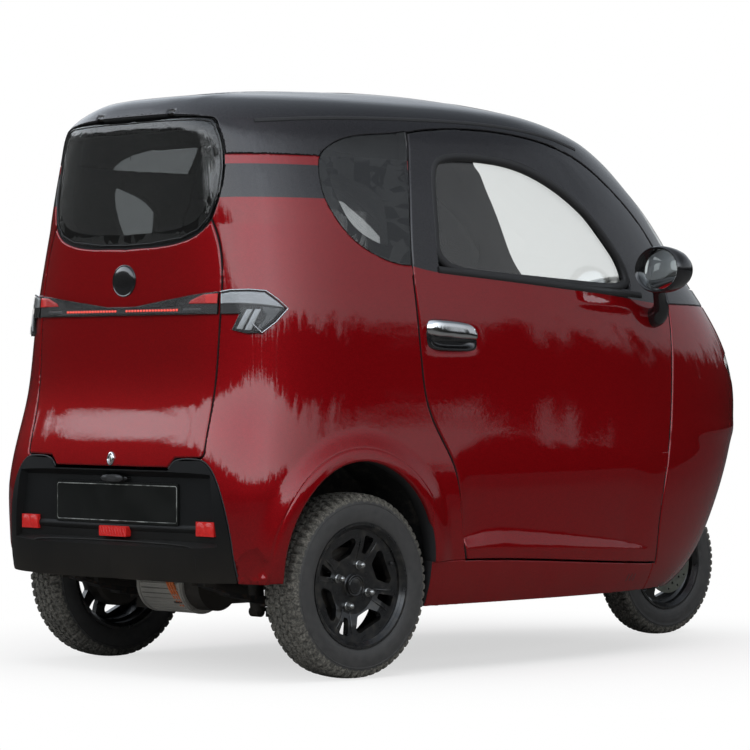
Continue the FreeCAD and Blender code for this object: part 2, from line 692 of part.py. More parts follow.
# Fork: two legs, yoke and stem on the raked steering axis
rake = math.radians(steering_rake)
up = V(-math.sin(rake), 0, math.cos(rake))
hub = V(wheelbase, 0, front_r)
leg_y = fork_spread / 2
yoke_rise = front_r + 62
leg_top = hub + up * (yoke_rise + 10)
leg = Part.makeCylinder(15, yoke_rise + 34, hub + up * (-24) + V(0, leg_y, 0), up)
yoke_side = Part.makeBox(60, 2 * leg_y + 44, 34, V(-30, -leg_y - 22, 0))
yoke_side = yoke_side.makeFillet(14, [e for e in yoke_side.Edges if e.BoundBox.ZLength > 30])
yoke_side.rotate(V(0, 0, 0), V(0, 1, 0), -steering_rake)
yoke_side.translate(hub + up * (yoke_rise - 17))
head_len = 150.0
head_rise = yoke_rise + 34
stem = Part.makeCylinder(15, head_len + 26, hub + up * (yoke_rise + 10), up)
pin = Part.makeCylinder(pin_r, 2 * leg_y + 20, hub + V(0, -leg_y - 10, 0), V(0, 1, 0))
fork = leg.fuse(mirrored(leg)).fuse(yoke_side).fuse(stem).fuse(pin)
save("fork", fork)
caliper = box(-38, 0, -24, 24, 0, 44)
disc_slot = box(-50, 10, -4.5, 4.5, -5, 36)
caliper = caliper.cut(disc_slot)
lug = box(-14, 0.2, -leg_y - 8 - disc_y - 2.5, -20, 8, 36)
caliper = caliper.fuse(lug)
caliper.translate(V(0, disc_y + 2.5, 0))
caliper.rotate(V(0, 0, 0), V(0, 1, 0), -steering_rake)
caliper.translate(hub + up * 62 + V(-15.5 - 1, 0, 0))
save("brake_caliper", caliper)


# Floor, rear deck and the riser between them, inside the body walls
inside = body_form(wall + seat_gap)
deck_t = 20.0
riser_x = 296 * sx
floor_front = tunnel_back - 30
floor = box(riser_x - deck_t, floor_front, -far, far, floor_low, floor_low + deck_t)
riser = box(riser_x - deck_t, riser_x, -far, far, floor_low, rear_floor + deck_t)
deck = box(-far, riser_x, -far, far, rear_floor, rear_floor + deck_t)
floor_pan = floor.fuse(riser).fuse(deck).common(inside)
save("floor_pan", floor_pan)

# Front bulkhead with the shelf over the steered wheel and the steering head
head_low = hub + up * head_rise
shelf_z = tunnel_top + 22
bulkhead = box(floor_front, floor_front + 20, -far, far, floor_low, shelf_z + 20)
shelf = box(floor_front, wheelbase + 40, -far, far, shelf_z, shelf_z + 20)
front_bulkhead = bulkhead.fuse(shelf).common(inside)
head_tube = Part.makeCylinder(30, head_len, head_low, up)
front_bulkhead = front_bulkhead.fuse(head_tube)
front_bulkhead = front_bulkhead.cut(Part.makeCylinder(15.06, 700, hub + up * 200, up))
save("front_bulkhead", front_bulkhead)

# Rear wheel arch liners
liner = arch_sheet(16, side_y - 155, far).cut(arch_sheet(12, side_y - 151, far))
liner = liner.common(inside).cut(box(-big, big, -big, big, -big, 264 * sz))
liner = liner.cut(panel(rear_sheet(bumper_outline, 2, -far, 60), 0, bumper_wall + seat_gap))
liner = liner.cut(box(-75, 75, 0, side_y - 100, 0, rear_r + 95))
save("arch_liners", pair(liner))

# Rear frame rails with the spring hangers
rail_y = spring_track / 2
rail_z = 448.0
rail_w = 40.0
rail = box(-340 * sx, riser_x - deck_t, rail_y - rail_w / 2, rail_y + rail_w / 2, rail_z, rail_z + 50)
front_post = box(riser_x - deck_t - 45, riser_x - deck_t, rail_y - rail_w / 2, rail_y + rail_w / 2,
                 rail_z - 10, rear_floor)
rear_post = box(-340 * sx, -300 * sx, rail_y - rail_w / 2, rail_y + rail_w / 2, rail_z - 10, rear_floor)
front_eye = V(195 * sx, rail_y, 262)
rear_eye = V(-305 * sx, rail_y, 268)
hanger = box(front_eye.x - 24, front_eye.x + 24, rail_y - 30, rail_y + 30, front_eye.z - 22, rail_z + 10)
shackle = box(rear_eye.x - 20, rear_eye.x + 20, rail_y - 30, rail_y + 30, rear_eye.z - 22, rail_z + 10)
clear_leaf = box(-far, far, rail_y - 23, rail_y + 23, 0, 320)
hanger = hanger.cut(clear_leaf)
shackle = shackle.cut(clear_leaf)
cross = box(-335 * sx, -295 * sx, -rail_y, rail_y, rail_z, rail_z + 50)
side_rail = rail.fuse(front_post).fuse(rear_post).fuse(hanger).fuse(shackle)
frame = side_rail.fuse(mirrored(side_rail)).fuse(cross)
eye_pins = []
for eye_at in (front_eye, rear_eye):
    eye_pins.append(Part.makeCylinder(8, 60, V(eye_at.x, rail_y - 30, eye_at.z), V(0, 1, 0)))
for eye_pin in eye_pins:
    frame = frame.fuse(eye_pin).fuse(mirrored(eye_pin))
save("rear_frame", frame)

# Leaf springs under the axle
leaf_w = 44.0
leaf_t = 7.7
leaf_low = rear_r - axle_tube_d / 2 - 8
leaves = []
for k in range(4):
    reach = 1.0 - 0.24 * k
    drop = 8.0 * k
    a = V(front_eye.x * reach, 0, leaf_low + (front_eye.z - 16 - leaf_low) * reach ** 2 - drop)
    b = V(0, 0, leaf_low - drop)
    c = V(rear_eye.x * reach, 0, leaf_low + (rear_eye.z - 16 - leaf_low) * reach ** 2 - drop)
    top = Part.Arc(a, b, c).toShape()
    low = top.copy()
    low.translate(V(0, 0, -leaf_t))
    ends = [Part.makeLine(a, a - V(0, 0, leaf_t)), Part.makeLine(c, c - V(0, 0, leaf_t))]
    strip = Part.Face(Part.Wire(Part.__sortEdges__([top, low] + ends)))
    leaves.append(strip.extrude(V(0, leaf_w, 0)))
main_leaf = leaves[0].copy()
main_leaf.translate(V(0, rail_y - leaf_w / 2, seat_gap))
spring = leaves[0]
for leaf in leaves[1:]:
    leaf.translate(V(0, 0, 0.2))
    spring = spring.fuse(leaf)
spring.translate(V(0, rail_y - leaf_w / 2, 0))
for eye_at in (front_eye, rear_eye):
    outer_eye = Part.makeCylinder(17, leaf_w, V(eye_at.x, rail_y - leaf_w / 2, eye_at.z), V(0, 1, 0))
    spring = spring.fuse(outer_eye)
for eye_at in (front_eye, rear_eye):
    spring = spring.cut(Part.makeCylinder(8.1, 200, V(eye_at.x, rail_y - 100, eye_at.z), V(0, 1, 0)))
save("leaf_springs", pair(spring))

# Rear axle: tube, stubs, brake drums, gear case and spring seats
motor_x = -105.0
motor_z = rear_r - 12
motor_r = 80.0
motor_y0 = -44.0
motor_y1 = 150.0
tube = Part.makeCylinder(axle_tube_d / 2, 2 * side_y - 110, V(0, -side_y + 55, rear_r), V(0, 1, 0))
stub = Part.makeCylinder(stub_r, 2 * side_y + 40, V(0, -side_y - 20, rear_r), V(0, 1, 0))
drum = turned([(10, -62), (92, -62), (100, -54), (100, -12), (88, -4), (10, -4)], 0, rear_r)
drum.translate(V(0, side_y, 0))
case = Part.makeCylinder(66, 60, V(0, motor_y0 - 60, rear_r), V(0, 1, 0))
case = case.fuse(Part.makeCylinder(72, 60, V(motor_x, motor_y0 - 60, motor_z), V(0, 1, 0)))
case = case.fuse(box(motor_x, 0, motor_y0 - 60, motor_y0, rear_r - 66, rear_r + 60))
axle = tube.fuse(stub).fuse(drum).fuse(mirrored(drum)).fuse(case)
seat_block = box(-45, 45, rail_y - 32, rail_y + 32, leaf_low + seat_gap, rear_r).cut(main_leaf)
plate_low = box(-45, 45, rail_y - 45, rail_y + 45, leaf_low - 60, leaf_low - 33.5)
bolts = []
for bx in (-36, 36):
    for by in (-28, 28):
        bolts.append(Part.makeCylinder(5, rear_r - leaf_low + 50, V(bx, rail_y + by, leaf_low - 50)))
clamp = seat_block.fuse(plate_low)
for bolt in bolts:
    clamp = clamp.fuse(bolt)
axle = axle.fuse(clamp).fuse(mirrored(clamp))
save("rear_axle", axle)
motor = Part.makeCylinder(motor_r, motor_y1 - motor_y0 - seat_gap, V(motor_x, motor_y0 + seat_gap, motor_z),
                          V(0, 1, 0))
motor = motor.makeFillet(10, [motor.Edges[0]])
motor = motor.cut(Part.makeCylinder(axle_tube_d / 2 + 1, 600, V(0, -300, rear_r), V(0, 1, 0)))
save("motor", motor)

# Dampers from the spring plates to the deck
damper_x = -62.0
damper_low = V(damper_x, rail_y - 56, leaf_low - 46)
damper_high = V(damper_x - 60, rail_y - 56, rear_floor - 2)
span = damper_high - damper_low
damper = rod(tuple(damper_low), tuple(damper_low + span * 0.55), 21)
damper = damper.fuse(rod(tuple(damper_low), tuple(damper_high), 8))
damper = damper.fuse(rod((damper_low.x, rail_y - 80, damper_low.z), (damper_low.x, rail_y - 45.3, damper_low.z), 14))
damper = damper.fuse(rod((damper_high.x, rail_y - 56, rear_floor - 30), (damper_high.x, rail_y - 56, rear_floor - 0.3), 24))
save("dampers", pair(damper))

# Cabin: seats, dashboard and steering
floor_top = floor_low + deck_t
seat_x = 1150 * sx
seat_base = box(seat_x - 170, seat_x + 170, -185, 185, floor_top + seat_gap, 455)
seat_base = seat_base.makeFillet(20, [e for e in seat_base.Edges if e.BoundBox.ZLength > 100])
save("seat_base", seat_base)
cushion = box(seat_x - 200, seat_x + 230, -225, 225, 455 + seat_gap, 545)
cushion = cushion.makeFillet(30, cushion.Edges)
back = box(-50, 50, -225, 225, 0, 600)
back = back.makeFillet(35, [e for e in back.Edges if e.BoundBox.ZLength > 20 or e.BoundBox.ZMin > 500])
back.rotate(V(0, 0, 0), V(0, 1, 0), -10)
back.translate(V(seat_x - 195, 0, 535))
driver_seat = cushion.fuse(back)
save("driver_seat", driver_seat)
deck_top = rear_floor + deck_t
bench = box(-110 * sx, riser_x + 40, -395 * sy, 395 * sy, deck_top + seat_gap, deck_top + 110)
bench = bench.makeFillet(28, bench.Edges)
bench_back = box(-45, 45, -395 * sy, 395 * sy, 0, 440)
bench_back = bench_back.makeFillet(30, bench_back.Edges)
bench_back.rotate(V(0, 0, 0), V(0, 1, 0), -8)
bench_back.translate(V(-125 * sx, 0, deck_top + 14))
bench = bench.fuse(bench_back)
save("rear_bench", bench)

wheel_axis = V(-math.sin(math.radians(27)), 0, math.cos(math.radians(27)))
wheel_centre = V(1455 * sx, 0, 1020 * sz)
column_low = head_low + up * (head_len + 18)
column_high = wheel_centre - wheel_axis * 70
dash_outline = [(1500 * sx, 0, 800 * sz), (1492 * sx, 0, 905 * sz), (1530 * sx, 0, 968 * sz),
                (1640 * sx, 0, 985 * sz), (1900 * sx, 0, 985 * sz), (1900 * sx, 0, 800 * sz)]
dash = Part.Face(closed(dash_outline)).extrude(V(0, 2 * far, 0))
dash.translate(V(0, -far, 0))
dash = dash.common(inside)
column = rod(tuple(column_low), tuple(column_high), 22)
column = column.fuse(rod(tuple(column_high - wheel_axis * 9), tuple(wheel_centre - wheel_axis * 36), 22))
dash = dash.cut(rod(tuple(column_low), tuple(column_high), 22 + seat_gap))
dash = dash.cut(rod(tuple(column_high), tuple(wheel_centre), 22 + seat_gap))
dash = dash.cut(lamp_cut).cut(mirrored(lamp_cut))
save("dashboard", dash)
save("steering_column", column)
ring = Part.makeTorus(165, 14)
boss = Part.makeCylinder(42, 44, V(0, 0, -35.7))
steering_wheel = ring.fuse(boss)
for turn in (0, 120, 240):
    spoke = box(0, 165, -15, 15, -6, 6)
    spoke.rotate(V(0, 0, 0), V(0, 0, 1), turn)
    steering_wheel = steering_wheel.fuse(spoke)
steering_wheel.rotate(V(0, 0, 0), V(0, 1, 0), -27)
steering_wheel.translate(wheel_centre)
save("steering_wheel", steering_wheel)
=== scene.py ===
import json
import math

import bmesh
import bpy
import numpy as np
from mathutils import Matrix, Vector

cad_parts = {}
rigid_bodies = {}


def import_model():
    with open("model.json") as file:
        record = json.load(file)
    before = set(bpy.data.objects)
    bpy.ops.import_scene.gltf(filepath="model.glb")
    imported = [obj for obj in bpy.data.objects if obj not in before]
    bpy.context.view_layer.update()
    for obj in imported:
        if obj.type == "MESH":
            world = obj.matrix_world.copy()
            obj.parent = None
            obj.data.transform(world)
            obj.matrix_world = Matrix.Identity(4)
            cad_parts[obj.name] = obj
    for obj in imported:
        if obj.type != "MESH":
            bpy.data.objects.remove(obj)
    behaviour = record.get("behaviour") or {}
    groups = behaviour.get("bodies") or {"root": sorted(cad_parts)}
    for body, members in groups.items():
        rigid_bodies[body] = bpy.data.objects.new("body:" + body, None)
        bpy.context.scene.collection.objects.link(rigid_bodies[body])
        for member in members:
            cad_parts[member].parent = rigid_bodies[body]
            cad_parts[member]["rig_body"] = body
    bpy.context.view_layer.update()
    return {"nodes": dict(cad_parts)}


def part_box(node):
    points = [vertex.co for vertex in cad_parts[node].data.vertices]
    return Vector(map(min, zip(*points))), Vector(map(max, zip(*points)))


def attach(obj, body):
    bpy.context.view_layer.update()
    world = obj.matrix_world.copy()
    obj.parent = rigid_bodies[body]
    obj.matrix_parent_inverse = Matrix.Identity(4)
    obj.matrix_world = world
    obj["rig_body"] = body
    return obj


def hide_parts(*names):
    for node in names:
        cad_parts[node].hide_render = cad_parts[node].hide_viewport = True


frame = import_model()


# The camera stands level at waist height behind the right rear corner, far enough away
# for a long lens, so that the body keeps its true proportions.
camera_data = bpy.data.cameras.new("camera")
camera_data.sensor_width = 36.0
camera_data.lens = 164.95
camera_data.shift_y = 0.0013
camera_data.clip_end = 200.0
camera = bpy.data.objects.new("camera", camera_data)
camera.location = (-6.985, -7.2004, 0.8016)
camera.rotation_euler = (math.radians(90.0), 0.0, math.radians(-43.202))
bpy.context.scene.collection.objects.link(camera)
bpy.context.scene.camera = camera


# The studio is a pale floor that melts into a white surround. Glossy paint sees an open sky
# over a dark line of trees instead, and broad soft lamps above and beside light the car.
def give(node, inputs):
    """Set a shader node's inputs; each is a plain value or another node's socket."""
    for key, value in inputs.items():
        if isinstance(value, bpy.types.NodeSocket):
            node.id_data.links.new(value, node.inputs[key])
        else:
            node.inputs[key].default_value = value
    return node


def put(tree, kind, inputs=None, **settings):
    """One new shader node with its settings and inputs."""
    made = tree.nodes.new("ShaderNode" + kind)
    for key, value in settings.items():
        setattr(made, key, value)
    return give(made, inputs or {})


def math_node(tree, operation, a, b=0.0, c=0.0, clamp=False):
    return put(tree, "Math", {0: a, 1: b, 2: c}, operation=operation, use_clamp=clamp).outputs[0]


def blend_colour(tree, share, first, second):
    return put(tree, "Mix", {0: share, 6: first, 7: second}, data_type="RGBA").outputs[2]


def stretch(tree, value, low, high, to_low=0.0, to_high=1.0, **settings):
    return put(tree, "MapRange", {0: value, 1: low, 2: high, 3: to_low, 4: to_high},
               **settings).outputs[0]


def ramp(tree, value, first, *middle, last):
    """A colour over a value, from (place, colour) stops."""
    made = put(tree, "ValToRGB", {0: value})
    ends = made.color_ramp.elements
    for end, (spot, colour) in ((ends[0], first), (ends[1], last)):
        end.position = spot
        end.color = (*colour, 1)
    for spot, colour in middle:
        ends.new(spot).color = (*colour, 1)
    return made.outputs["Color"]


bpy.context.scene.view_settings.view_transform = "Standard"
world = bpy.data.worlds.new("studio")
bpy.context.scene.world = world
world.use_nodes = True
tree = world.node_tree
tree.nodes.clear()
rays = put(tree, "LightPath").outputs
place = put(tree, "TexCoord").outputs["Generated"]
way = put(tree, "SeparateXYZ", {0: place}).outputs
leaves = put(tree, "TexNoise", {"Vector": place, "Scale": 14.0, "Detail": 8.0, "Roughness": 0.7})
level = math_node(tree, "MULTIPLY_ADD", way["Z"], 0.5, 0.5)
level = math_node(tree, "MULTIPLY_ADD", leaves.outputs["Fac"], 0.11, level)
level = math_node(tree, "ADD", level, stretch(tree, way["X"], 0.2, 0.7, -0.08, -0.02))
diffuse_sky = ramp(tree, level, (0.5, (0.12, 0.12, 0.12)), (0.575, (0.15, 0.155, 0.15)),
                   (0.605, (0.7, 0.73, 0.77)), last=(1.0, (0.85, 0.87, 0.9)))
glossy_sky = ramp(tree, level, (0.5, (0.016, 0.016, 0.015)), (0.588, (0.022, 0.023, 0.022)),
                  (0.606, (0.9, 0.95, 1.0)), (0.7, (0.74, 0.8, 0.88)),
                  (0.8, (0.28, 0.31, 0.35)), last=(1.0, (0.2, 0.22, 0.25)))
shine = math_node(tree, "MULTIPLY_ADD", rays["Is Glossy Ray"], 3.3, 0.7)
power = math_node(tree, "MULTIPLY", shine, stretch(tree, way["X"], -0.3, 0.75, 0.82, 0.14))
sky = put(tree, "Background", {"Strength": power, "Color": blend_colour(
    tree, rays["Is Glossy Ray"], diffuse_sky, glossy_sky)})
white = put(tree, "Background", {"Color": (1, 1, 1, 1)})
clear = math_node(tree, "MAXIMUM", rays["Is Camera Ray"], rays["Is Transmission Ray"])
seen = put(tree, "MixShader", {0: clear, 1: sky.outputs[0], 2: white.outputs[0]})
put(tree, "OutputWorld", {"Surface": seen.outputs[0]})


def softbox(name, place, aim, width, depth, power):
    light = bpy.data.lights.new(name, "AREA")
    light.shape = "RECTANGLE"
    light.size = width
    light.size_y = depth
    light.energy = power
    lamp = bpy.data.objects.new(name, light)
    lamp.location = place
    lamp.rotation_euler = (Vector(aim) - Vector(place)).to_track_quat("-Z", "Y").to_euler()
    lamp.visible_glossy = False
    bpy.context.scene.collection.objects.link(lamp)


softbox("overhead", (-0.5, -1.0, 5.0), (0, 0, 0.8), 5.0, 5.0, 190)
softbox("right_side", (1.5, -6.0, 2.8), (0.2, 0, 0.8), 5.0, 1.4, 60)
softbox("rear_side", (-6.5, 0.5, 2.6), (-1.0, 0, 0.8), 3.0, 1.4, 45)

FLOOR = [(-40, -40, 0), (40, -40, 0), (40, 40, 0), (-40, 40, 0)]
floor_mesh = bpy.data.meshes.new("studio_floor")
floor_mesh.from_pydata(FLOOR, [], [(0, 1, 2, 3)])
floor = bpy.data.objects.new("studio_floor", floor_mesh)
bpy.context.scene.collection.objects.link(floor)
floor_finish = bpy.data.materials.new("pale_floor")
floor_finish.use_nodes = True
tree = floor_finish.node_tree
rays = put(tree, "LightPath").outputs
shader = give(tree.nodes["Principled BSDF"], {
    "Roughness": 0.9, "Specular IOR Level": 0.1,
    "Base Color": blend_colour(tree, rays["Is Glossy Ray"], (0.93, 0.93, 0.93, 1),
                               (0.16, 0.16, 0.155, 1))})
place = put(tree, "TexCoord").outputs["Object"]
reach = put(tree, "VectorMath", {0: place}, operation="LENGTH").outputs["Value"]
fade = stretch(tree, reach, 0.5, 1.9, 0.62, interpolation_type="SMOOTHSTEP")
clear = math_node(tree, "MAXIMUM", rays["Is Camera Ray"], rays["Is Transmission Ray"])
white = put(tree, "Emission", {"Strength": 1.0})
seen = put(tree, "MixShader", {0: math_node(tree, "MULTIPLY", clear, fade),
                               1: shader.outputs[0], 2: white.outputs[0]})
give(tree.nodes["Material Output"], {"Surface": seen.outputs[0]})
floor_mesh.materials.append(floor_finish)


# The body shell is moulded in large thin-walled panels that share one sculpted form. Each
# shop panel is pressed to that form, and its edges are rolled in by a few millimetres.
AXLE_X = -0.799
PANEL_STEP = 0.014
EDGE_ROLL = 0.0035
TAIL_LINE = [(-352, 180), (-390, 260), (-401, 380), (-402, 500), (-388, 620), (-364, 740),
             (-354, 900), (-348, 1080), (-340, 1260), (-330, 1420), (-324, 1485), (-296, 1530),
             (-200, 1560), (0, 1582), (300, 1598)]
NOSE_LINE = [(1600, 180), (1700, 260), (1785, 380), (1848, 500), (1902, 630), (1918, 740),
             (1888, 860), (1805, 980), (1712, 1080), (1612, 1190), (1520, 1290), (1410, 1380),
             (1275, 1465), (1110, 1530), (890, 1570), (580, 1598)]
SIDE_LINE = [(535, 180), (562, 260), (574, 380), (576, 500), (564, 620), (552, 740), (545, 860),
             (536, 980), (514, 1130), (487, 1280), (462, 1390), (432, 1480), (385, 1530),
             (310, 1560), (210, 1584), (100, 1598)]


def drawn_line(points):
    """A smooth line through drawn points, read as distance out at each height."""
    p = np.array(points, float)
    steps = np.concatenate([[0], np.cumsum(np.hypot(*np.diff(p, axis=0).T))])
    count = len(p)
    h = np.diff(steps)
    system = np.eye(count)
    right = np.zeros((count, 2))
    for i in range(1, count - 1):
        system[i, i - 1:i + 2] = h[i - 1], 2 * (h[i - 1] + h[i]), h[i]
        right[i] = 6 * ((p[i + 1] - p[i]) / h[i] - (p[i] - p[i - 1]) / h[i - 1])
    system[0, 0:3] = h[1], -(h[0] + h[1]), h[0]
    system[-1, -3:] = h[-1], -(h[-2] + h[-1]), h[-2]
    bend = np.linalg.solve(system, right)
    t = np.linspace(0, steps[-1], 4000)
    i = np.clip(np.searchsorted(steps, t) - 1, 0, count - 2)
    a = (steps[i + 1] - t)[:, None]
    b = (t - steps[i])[:, None]
    w = h[i][:, None]
    out = (bend[i] * a ** 3 + bend[i + 1] * b ** 3) / (6 * w)
    out += (p[i] / w - bend[i] * w / 6) * a + (p[i + 1] / w - bend[i + 1] * w / 6) * b
    return out[:, 1] / 1000, out[:, 0] / 1000


tail_line = drawn_line(TAIL_LINE)
nose_line = drawn_line(NOSE_LINE)
side_line = drawn_line(SIDE_LINE)


def form_reach(p):
    """How far out each point lies against the body's section at its height: 1 is on the skin."""
    x = p[:, 0] - AXLE_X
    z = np.clip(p[:, 2], 0.18, 1.5979)
    tail = np.interp(z, *tail_line)
    nose = np.interp(z, *nose_line)
    half = np.interp(z, *side_line)
    wide = 0.3 + 0.14 * np.clip((z - 1.33) / 0.268, 0, 1) ** 1.5
    tail_power = 7.0 - 2.2 * np.clip((z - 0.5) / 0.7, 0, 1)
    tail_power = tail_power - 2.3 * np.clip((z - 1.48) / 0.11, 0, 1)
    nose_power = 2.7 - 0.4 * np.clip((z - 1.48) / 0.118, 0, 1)
    behind = x < wide
    power = np.where(behind, tail_power, nose_power)
    along = np.where(behind, (wide - x) / (wide - tail), (x - wide) / (nose - wide))
    across = np.abs(p[:, 1]) / half
    return (np.clip(along, 0, None) ** power + across ** power) ** (1 / power)


def form_depth(p):
    """Distance of each point outside the bare body form, and the way out."""
    slope = slope_of(form_reach, p, 0.0008)
    size = np.linalg.norm(slope, axis=1)
    return (form_reach(p) - 1) / size, slope / size[:, None]


def slope_of(value_at, p, step):
    slope = np.zeros_like(p)
    for axis in range(3):
        shift = np.zeros(3)
        shift[axis] = step
        slope[:, axis] = (value_at(p + shift) - value_at(p - shift)) / (2 * step)
    return slope


def rise(value, low, high):
    t = np.clip((value - low) / (high - low), 0, 1)
    return t * t * (3 - 2 * t)


def mm(text):
    """Drawn points from a text of pairs in millimetres, "x,y x,y", as pairs in metres."""
    return [tuple(float(number) / 1000 for number in pair.split(",")) for pair in text.split()]


CROWN_EDGE = 1.56   # above this height a level face is skin, whatever its depth
CROWN_TOP = 1.575    # and from here up a panel keeps its own shape
SKIN_DEPTH = 0.0025  # a face that stays this near to the bare form is outer skin
LINING_AND_SHADE_DEPTH = 0.004   # and one that goes deeper than this is dull dark lining, which is painted shade on sunk panel edges that are really red
WELD = 0.00002


def shaped_depth(p, sculpt):
    """Distance of each point outside the form with a panel's own relief on it."""
    depth, way = form_depth(p)
    return depth - sculpt(p), way


def plain_form(p):
    return np.zeros(len(p))


def dressed_panel(node, sculpt, finish):
    """A copy of a shell panel with its outer skin laid finely on the sculpted form."""
    source = frame["nodes"][node]
    bm = bmesh.new()
    bm.from_mesh(source.data)
    bmesh.ops.remove_doubles(bm, verts=bm.verts, dist=WELD)
    bmesh.ops.triangulate(bm, faces=bm.faces)
    skin = bm.faces.layers.int.new("skin")
    depth, way = form_depth(np.array([v.co for v in bm.verts]))
    bm.verts.ensure_lookup_table()
    bm.normal_update()
    for f in bm.faces:
        ids = [v.index for v in f.verts]
        centre_way = Vector(way[ids].mean(0)).normalized()
        crown = min(v.co.z for v in f.verts) > CROWN_EDGE and f.normal.z > 0.7
        if crown or (depth[ids].min() > -SKIN_DEPTH and f.normal.dot(centre_way) > 0.5):
            f[skin] = 1
    for turn in range(7):
        long_edges = [e for e in bm.edges if e.calc_length() > PANEL_STEP
                      and any(f[skin] for f in e.link_faces)]
        if not long_edges:
            break
        bmesh.ops.subdivide_edges(bm, edges=long_edges, cuts=1)
        bmesh.ops.triangulate(bm, faces=[f for f in bm.faces if len(f.verts) > 3])
    rim = {v for e in bm.edges for v in e.verts
           if len({f[skin] for f in e.link_faces}) > 1}
    edges = [e for e in bm.edges if e.calc_length() > 2.2 * EDGE_ROLL
             and (e.verts[0] in rim) != (e.verts[1] in rim)
             and all(f[skin] for f in e.link_faces)]
    for e in edges:
        start = e.verts[0] if e.verts[0] in rim else e.verts[1]
        bmesh.utils.edge_split(e, start, 1.6 * EDGE_ROLL / e.calc_length())
    bmesh.ops.triangulate(bm, faces=[f for f in bm.faces if len(f.verts) > 3],
                          ngon_method="BEAUTY")
    bm.verts.ensure_lookup_table()
    bm.verts.index_update()
    on_skin = sorted({v.index for f in bm.faces if f[skin] for v in f.verts})
    rim_ids = {v.index for v in rim}
    p = np.array([v.co for v in bm.verts])[np.array(on_skin)]
    low = np.array([i in rim_ids for i in on_skin])
    flat = p[:, 2] > CROWN_TOP
    for turn in range(3):
        off, way = shaped_depth(p, sculpt)
        off = np.where(flat, 0, np.clip(off, -0.02, 0.02))
        p = p - way * off[:, None]
    p = p - way * (low * EDGE_ROLL * 0.75)[:, None]
    for i, place in zip(on_skin, p):
        bm.verts[i].co = Vector(place)
    bmesh.ops.remove_doubles(bm, verts=[bm.verts[i] for i in on_skin], dist=0.00015)
    mesh = bpy.data.meshes.new(node + "_shell")
    bm.normal_update()
    for f in bm.faces:
        f.smooth = True
        f.material_index = 0
    bm.to_mesh(mesh)
    bm.free()
    mesh.set_sharp_from_angle(angle=math.radians(40))
    corners = np.array([c.vector for c in mesh.corner_normals])
    place = np.array([v.co for v in mesh.vertices])
    depth = form_depth(place)[0]
    off = shaped_depth(place, sculpt)[0]
    soft = slope_of(lambda q: shaped_depth(q, sculpt)[0], place, 0.002)
    soft /= np.linalg.norm(soft, axis=1)[:, None]
    skin_flag = np.zeros(len(mesh.polygons), int)
    mesh.attributes["skin"].data.foreach_get("value", skin_flag)
    for poly in mesh.polygons:
        if not skin_flag[poly.index]:
            # Sunk faces take the dark finish: lining, and painted shade on the panel edges in the
            # gaps, which are really red.
            poly.material_index = int(depth[list(poly.vertices)].min() < -LINING_AND_SHADE_DEPTH)
            continue
        for k in poly.loop_indices:
            v = mesh.loops[k].vertex_index
            if -0.0015 < off[v] < 0.006 and place[v][2] < CROWN_TOP:
                corners[k] = soft[v]
    mesh.normals_split_custom_set(corners.tolist())
    mesh.materials.append(finish)
    mesh.materials.append(lining_and_gap_shade_finish)
    piece = bpy.data.objects.new(node + "_shell", mesh)
    bpy.context.scene.collection.objects.link(piece)
    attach(piece, source["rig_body"])
    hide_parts(node)
    return piece


# Paint: a deep red metallic under thick clear lacquer, and a black gloss of the same kind
# for the roof, the window frames and the bands. Lacquer ripples a little and gathers dust low.
def new_finish(name):
    finish = bpy.data.materials.new(name)
    finish.use_nodes = True
    tree = finish.node_tree
    return finish, tree, tree.nodes["Principled BSDF"], put(tree, "TexCoord").outputs["Object"]


def noise(tree, place, scale, detail, rough=0.5):
    return put(tree, "TexNoise", {"Vector": place, "Scale": scale, "Detail": detail,
                                  "Roughness": rough}).outputs["Fac"]


def wave(tree, place, scale, distortion=0.0, way="X"):
    return put(tree, "TexWave", {"Vector": place, "Scale": scale, "Distortion": distortion},
               bands_direction=way).outputs["Fac"]


def cells(tree, place, scale):
    return put(tree, "TexVoronoi", {"Vector": place, "Scale": scale}).outputs["Distance"]


def bumpy(tree, height, strength, depth):
    return put(tree, "Bump", {"Strength": strength, "Distance": depth,
                              "Height": height}).outputs[0]


def grained(name, grain, first, second=None, rough=0.5, spread=None, bump=None, also=()):
    """A material that runs from one colour to another with a texture. Roughness is a number or
    a (gain, base) pair on the texture; spread is the texture's range that the colour uses;
    bump is (strength, depth), with its own texture where that differs."""
    finish, tree, shader, place = new_finish(name)
    value = grain[0](tree, place, *grain[1:])
    colour = (*first, 1)
    if second:
        share = stretch(tree, value, *spread) if spread else value
        colour = blend_colour(tree, share, colour, (*second, 1))
    if isinstance(rough, tuple):
        rough = math_node(tree, "MULTIPLY_ADD", value, *rough)
    give(shader, {"Base Color": colour, "Roughness": rough, **dict(also)})
    if bump:
        strength, depth, *other = bump
        height = other[0](tree, place, *other[1:]) if other else value
        give(shader, {"Normal": bumpy(tree, height, strength, depth)})
    return finish


def dress(finish, *nodes):
    """Lay a material on CAD nodes that are shown as they are."""
    for node in nodes:
        frame["nodes"][node].data.materials[0] = finish


def above_line(tree, place, points, blur=0.0012):
    """1 where a point lies above a line drawn over X, as (x, z) in metres, with a fine edge."""
    parts = put(tree, "SeparateXYZ", {0: place})
    low_x, high_x = points[0][0], points[-1][0]
    low_z = min(z for x, z in points) - 0.01
    high_z = max(z for x, z in points) + 0.01
    line = put(tree, "FloatCurve", {1: stretch(tree, parts.outputs["X"], low_x, high_x)})
    curve = line.mapping.curves[0]
    spots = [((x - low_x) / (high_x - low_x), (z - low_z) / (high_z - low_z)) for x, z in points]
    curve.points[0].location = spots[0]
    for spot in spots[1:-1]:
        curve.points.new(*spot)
    curve.points[-1].location = spots[-1]
    line.mapping.update()
    height = math_node(tree, "MULTIPLY_ADD", line.outputs[0], high_z - low_z, low_z)
    over = math_node(tree, "SUBTRACT", parts.outputs["Z"], height)
    return math_node(tree, "MULTIPLY_ADD", over, 0.5 / blur, 0.5, clamp=True)


